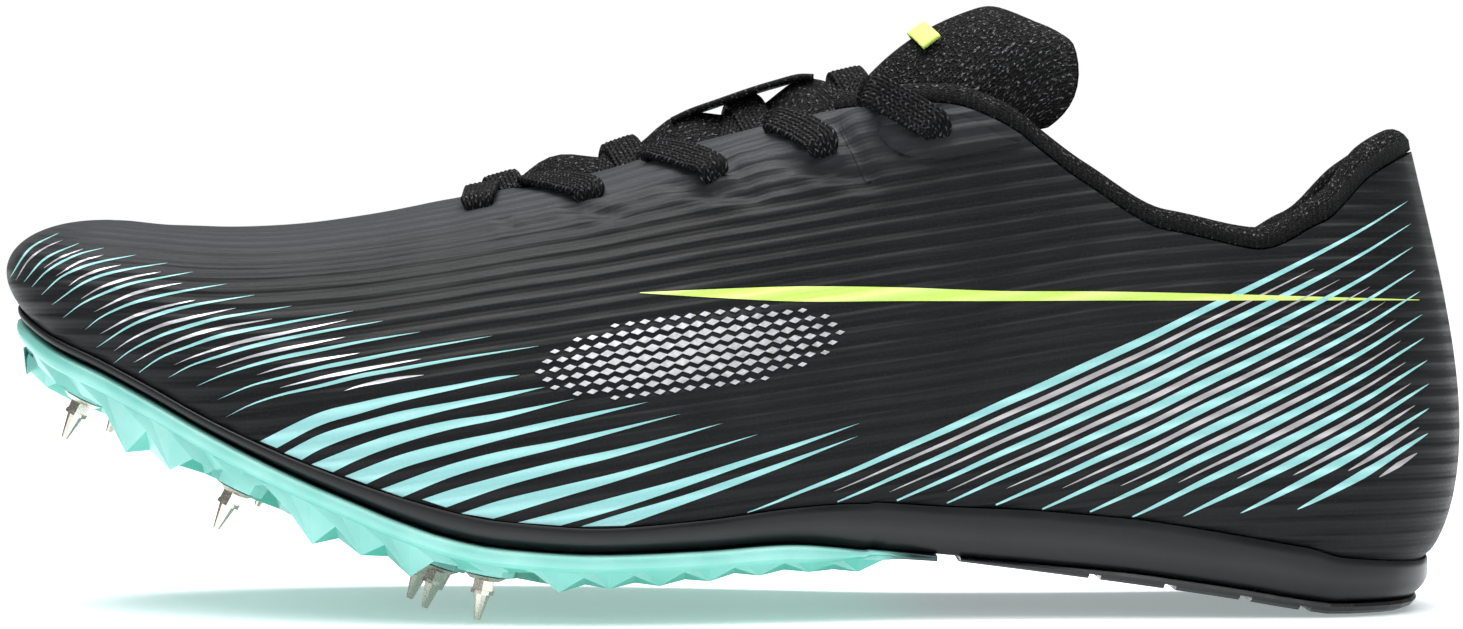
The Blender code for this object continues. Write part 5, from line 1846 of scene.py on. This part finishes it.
class SHOE_PG_sizes(bpy.types.PropertyGroup):
    """Sizes of the finish."""

    rib_pitch: bpy.props.FloatProperty(
        name="Rib pitch", description="Distance between the ribs of the upper", default=RIB_PITCH * MM,
        min=0.5 * MM, unit="LENGTH",
    )
    tile_length: bpy.props.FloatProperty(
        name="Tile length", description="Length of the largest foil tile", default=3.1 * MM, min=0.2 * MM,
        unit="LENGTH",
    )
    tile_width: bpy.props.FloatProperty(
        name="Tile width", description="Width of the largest foil tile", default=1.5 * MM, min=0.2 * MM,
        unit="LENGTH",
    )


class SHOE_PG_colours(bpy.types.PropertyGroup):
    """Colours of the inks, from their painted shade in the hollows to their painted highlight on the ribs."""

    # Each ink comes twice: shaded for the rib hollows and lit for the rib tops, as painted shade and painted
    # highlight
    teal_shaded: bpy.props.FloatVectorProperty(
        name="Teal, low", description="Teal ink in the hollows",
        default=linear("#7cb2b2")[:3], subtype="COLOR",
    )
    teal_lit: bpy.props.FloatVectorProperty(
        name="Teal, high", description="Teal ink on the ribs",
        default=linear("#9accca")[:3], subtype="COLOR",
    )
    lime_shaded: bpy.props.FloatVectorProperty(
        name="Lime, low", description="Lime ink in the hollows",
        default=linear("#b2cf58")[:3], subtype="COLOR",
    )
    lime_lit: bpy.props.FloatVectorProperty(
        name="Lime, high", description="Lime ink on the ribs",
        default=linear("#c9de7c")[:3], subtype="COLOR",
    )


# Operators

class SHOE_OT_upper(bpy.types.Operator):
    """Build the film shell with its creases, eyelets and scalloped throat."""

    bl_idname = "shoe.upper"
    bl_label = "Upper"

    def execute(self, context):
        make_upper()
        return {"FINISHED"}


class SHOE_OT_prints(bpy.types.Operator):
    """Build the teal, silver and lime lines on both sides."""

    bl_idname = "shoe.prints"
    bl_label = "Printed lines"

    def execute(self, context):
        make_prints()
        return {"FINISHED"}


class SHOE_OT_tiles(bpy.types.Operator):
    """Build the lens of foil tiles on both sides."""

    bl_idname = "shoe.tiles"
    bl_label = "Foil tiles"

    def execute(self, context):
        make_tiles()
        return {"FINISHED"}


class SHOE_OT_tongue(bpy.types.Operator):
    """Build the padded tongue."""

    bl_idname = "shoe.tongue"
    bl_label = "Tongue"

    def execute(self, context):
        make_tongue()
        return {"FINISHED"}


class SHOE_OT_label(bpy.types.Operator):
    """Build the plain woven patch on the tongue."""

    bl_idname = "shoe.label"
    bl_label = "Tongue patch"

    def execute(self, context):
        make_label()
        return {"FINISHED"}


class SHOE_OT_roll(bpy.types.Operator):
    """Build the knitted padded cuff around the collar."""

    bl_idname = "shoe.roll"
    bl_label = "Collar cuff"

    def execute(self, context):
        make_roll()
        return {"FINISHED"}


class SHOE_OT_laces(bpy.types.Operator):
    """Thread the braided lace through the eyelets."""

    bl_idname = "shoe.laces"
    bl_label = "Laces"

    def execute(self, context):
        make_laces()
        return {"FINISHED"}


class SHOE_OT_keeper(bpy.types.Operator):
    """Build the loop band on the tongue."""

    bl_idname = "shoe.keeper"
    bl_label = "Lace keeper"

    def execute(self, context):
        make_keeper()
        return {"FINISHED"}


class SHOE_OT_midsole(bpy.types.Operator):
    """Build the foam sole."""

    bl_idname = "shoe.midsole"
    bl_label = "Midsole"

    def execute(self, context):
        make_midsole()
        return {"FINISHED"}


class SHOE_OT_insole(bpy.types.Operator):
    """Build the footbed."""

    bl_idname = "shoe.insole"
    bl_label = "Insole"

    def execute(self, context):
        make_insole()
        return {"FINISHED"}


class SHOE_OT_plate(bpy.types.Operator):
    """Finish the plate, heel rubber and spikes, and add the plate's rim."""

    bl_idname = "shoe.plate"
    bl_label = "Plate and spikes"

    def execute(self, context):
        finish_sole()
        return {"FINISHED"}


class SHOE_OT_stage(bpy.types.Operator):
    """Set up the floor, the light and the camera."""

    bl_idname = "shoe.stage"
    bl_label = "Stage"

    def execute(self, context):
        make_stage()
        return {"FINISHED"}


OPERATORS = (
    SHOE_OT_upper, SHOE_OT_prints, SHOE_OT_tiles, SHOE_OT_tongue, SHOE_OT_label,
    SHOE_OT_roll, SHOE_OT_laces, SHOE_OT_keeper, SHOE_OT_midsole, SHOE_OT_insole,
    SHOE_OT_plate, SHOE_OT_stage,
)


class SHOE_PT_panel(bpy.types.Panel):
    """The list of the shoe's pieces in the sidebar."""

    bl_label = "Spike shoe"
    bl_idname = "SHOE_PT_panel"
    bl_space_type = "VIEW_3D"
    bl_region_type = "UI"
    bl_category = "Spike shoe"

    def draw(self, context):
        scene = context.scene
        for group in (scene.shoe_sizes, scene.shoe_colours):
            for name in group.__annotations__:
                self.layout.prop(group, name)
        for operator in OPERATORS:
            self.layout.operator(operator.bl_idname)


def register():
    for kind in (SHOE_PG_sizes, SHOE_PG_colours, *OPERATORS, SHOE_PT_panel):
        bpy.utils.register_class(kind)
    bpy.types.Scene.shoe_sizes = bpy.props.PointerProperty(type=SHOE_PG_sizes)
    bpy.types.Scene.shoe_colours = bpy.props.PointerProperty(type=SHOE_PG_colours)


def unregister():
    del bpy.types.Scene.shoe_colours
    del bpy.types.Scene.shoe_sizes
    for kind in reversed((SHOE_PG_sizes, SHOE_PG_colours, *OPERATORS, SHOE_PT_panel)):
        bpy.utils.unregister_class(kind)


def main():
    register()
    for operator in OPERATORS:
        getattr(bpy.ops.shoe, operator.bl_idname.split(".")[1])()


if __name__ == "__main__":
    main()
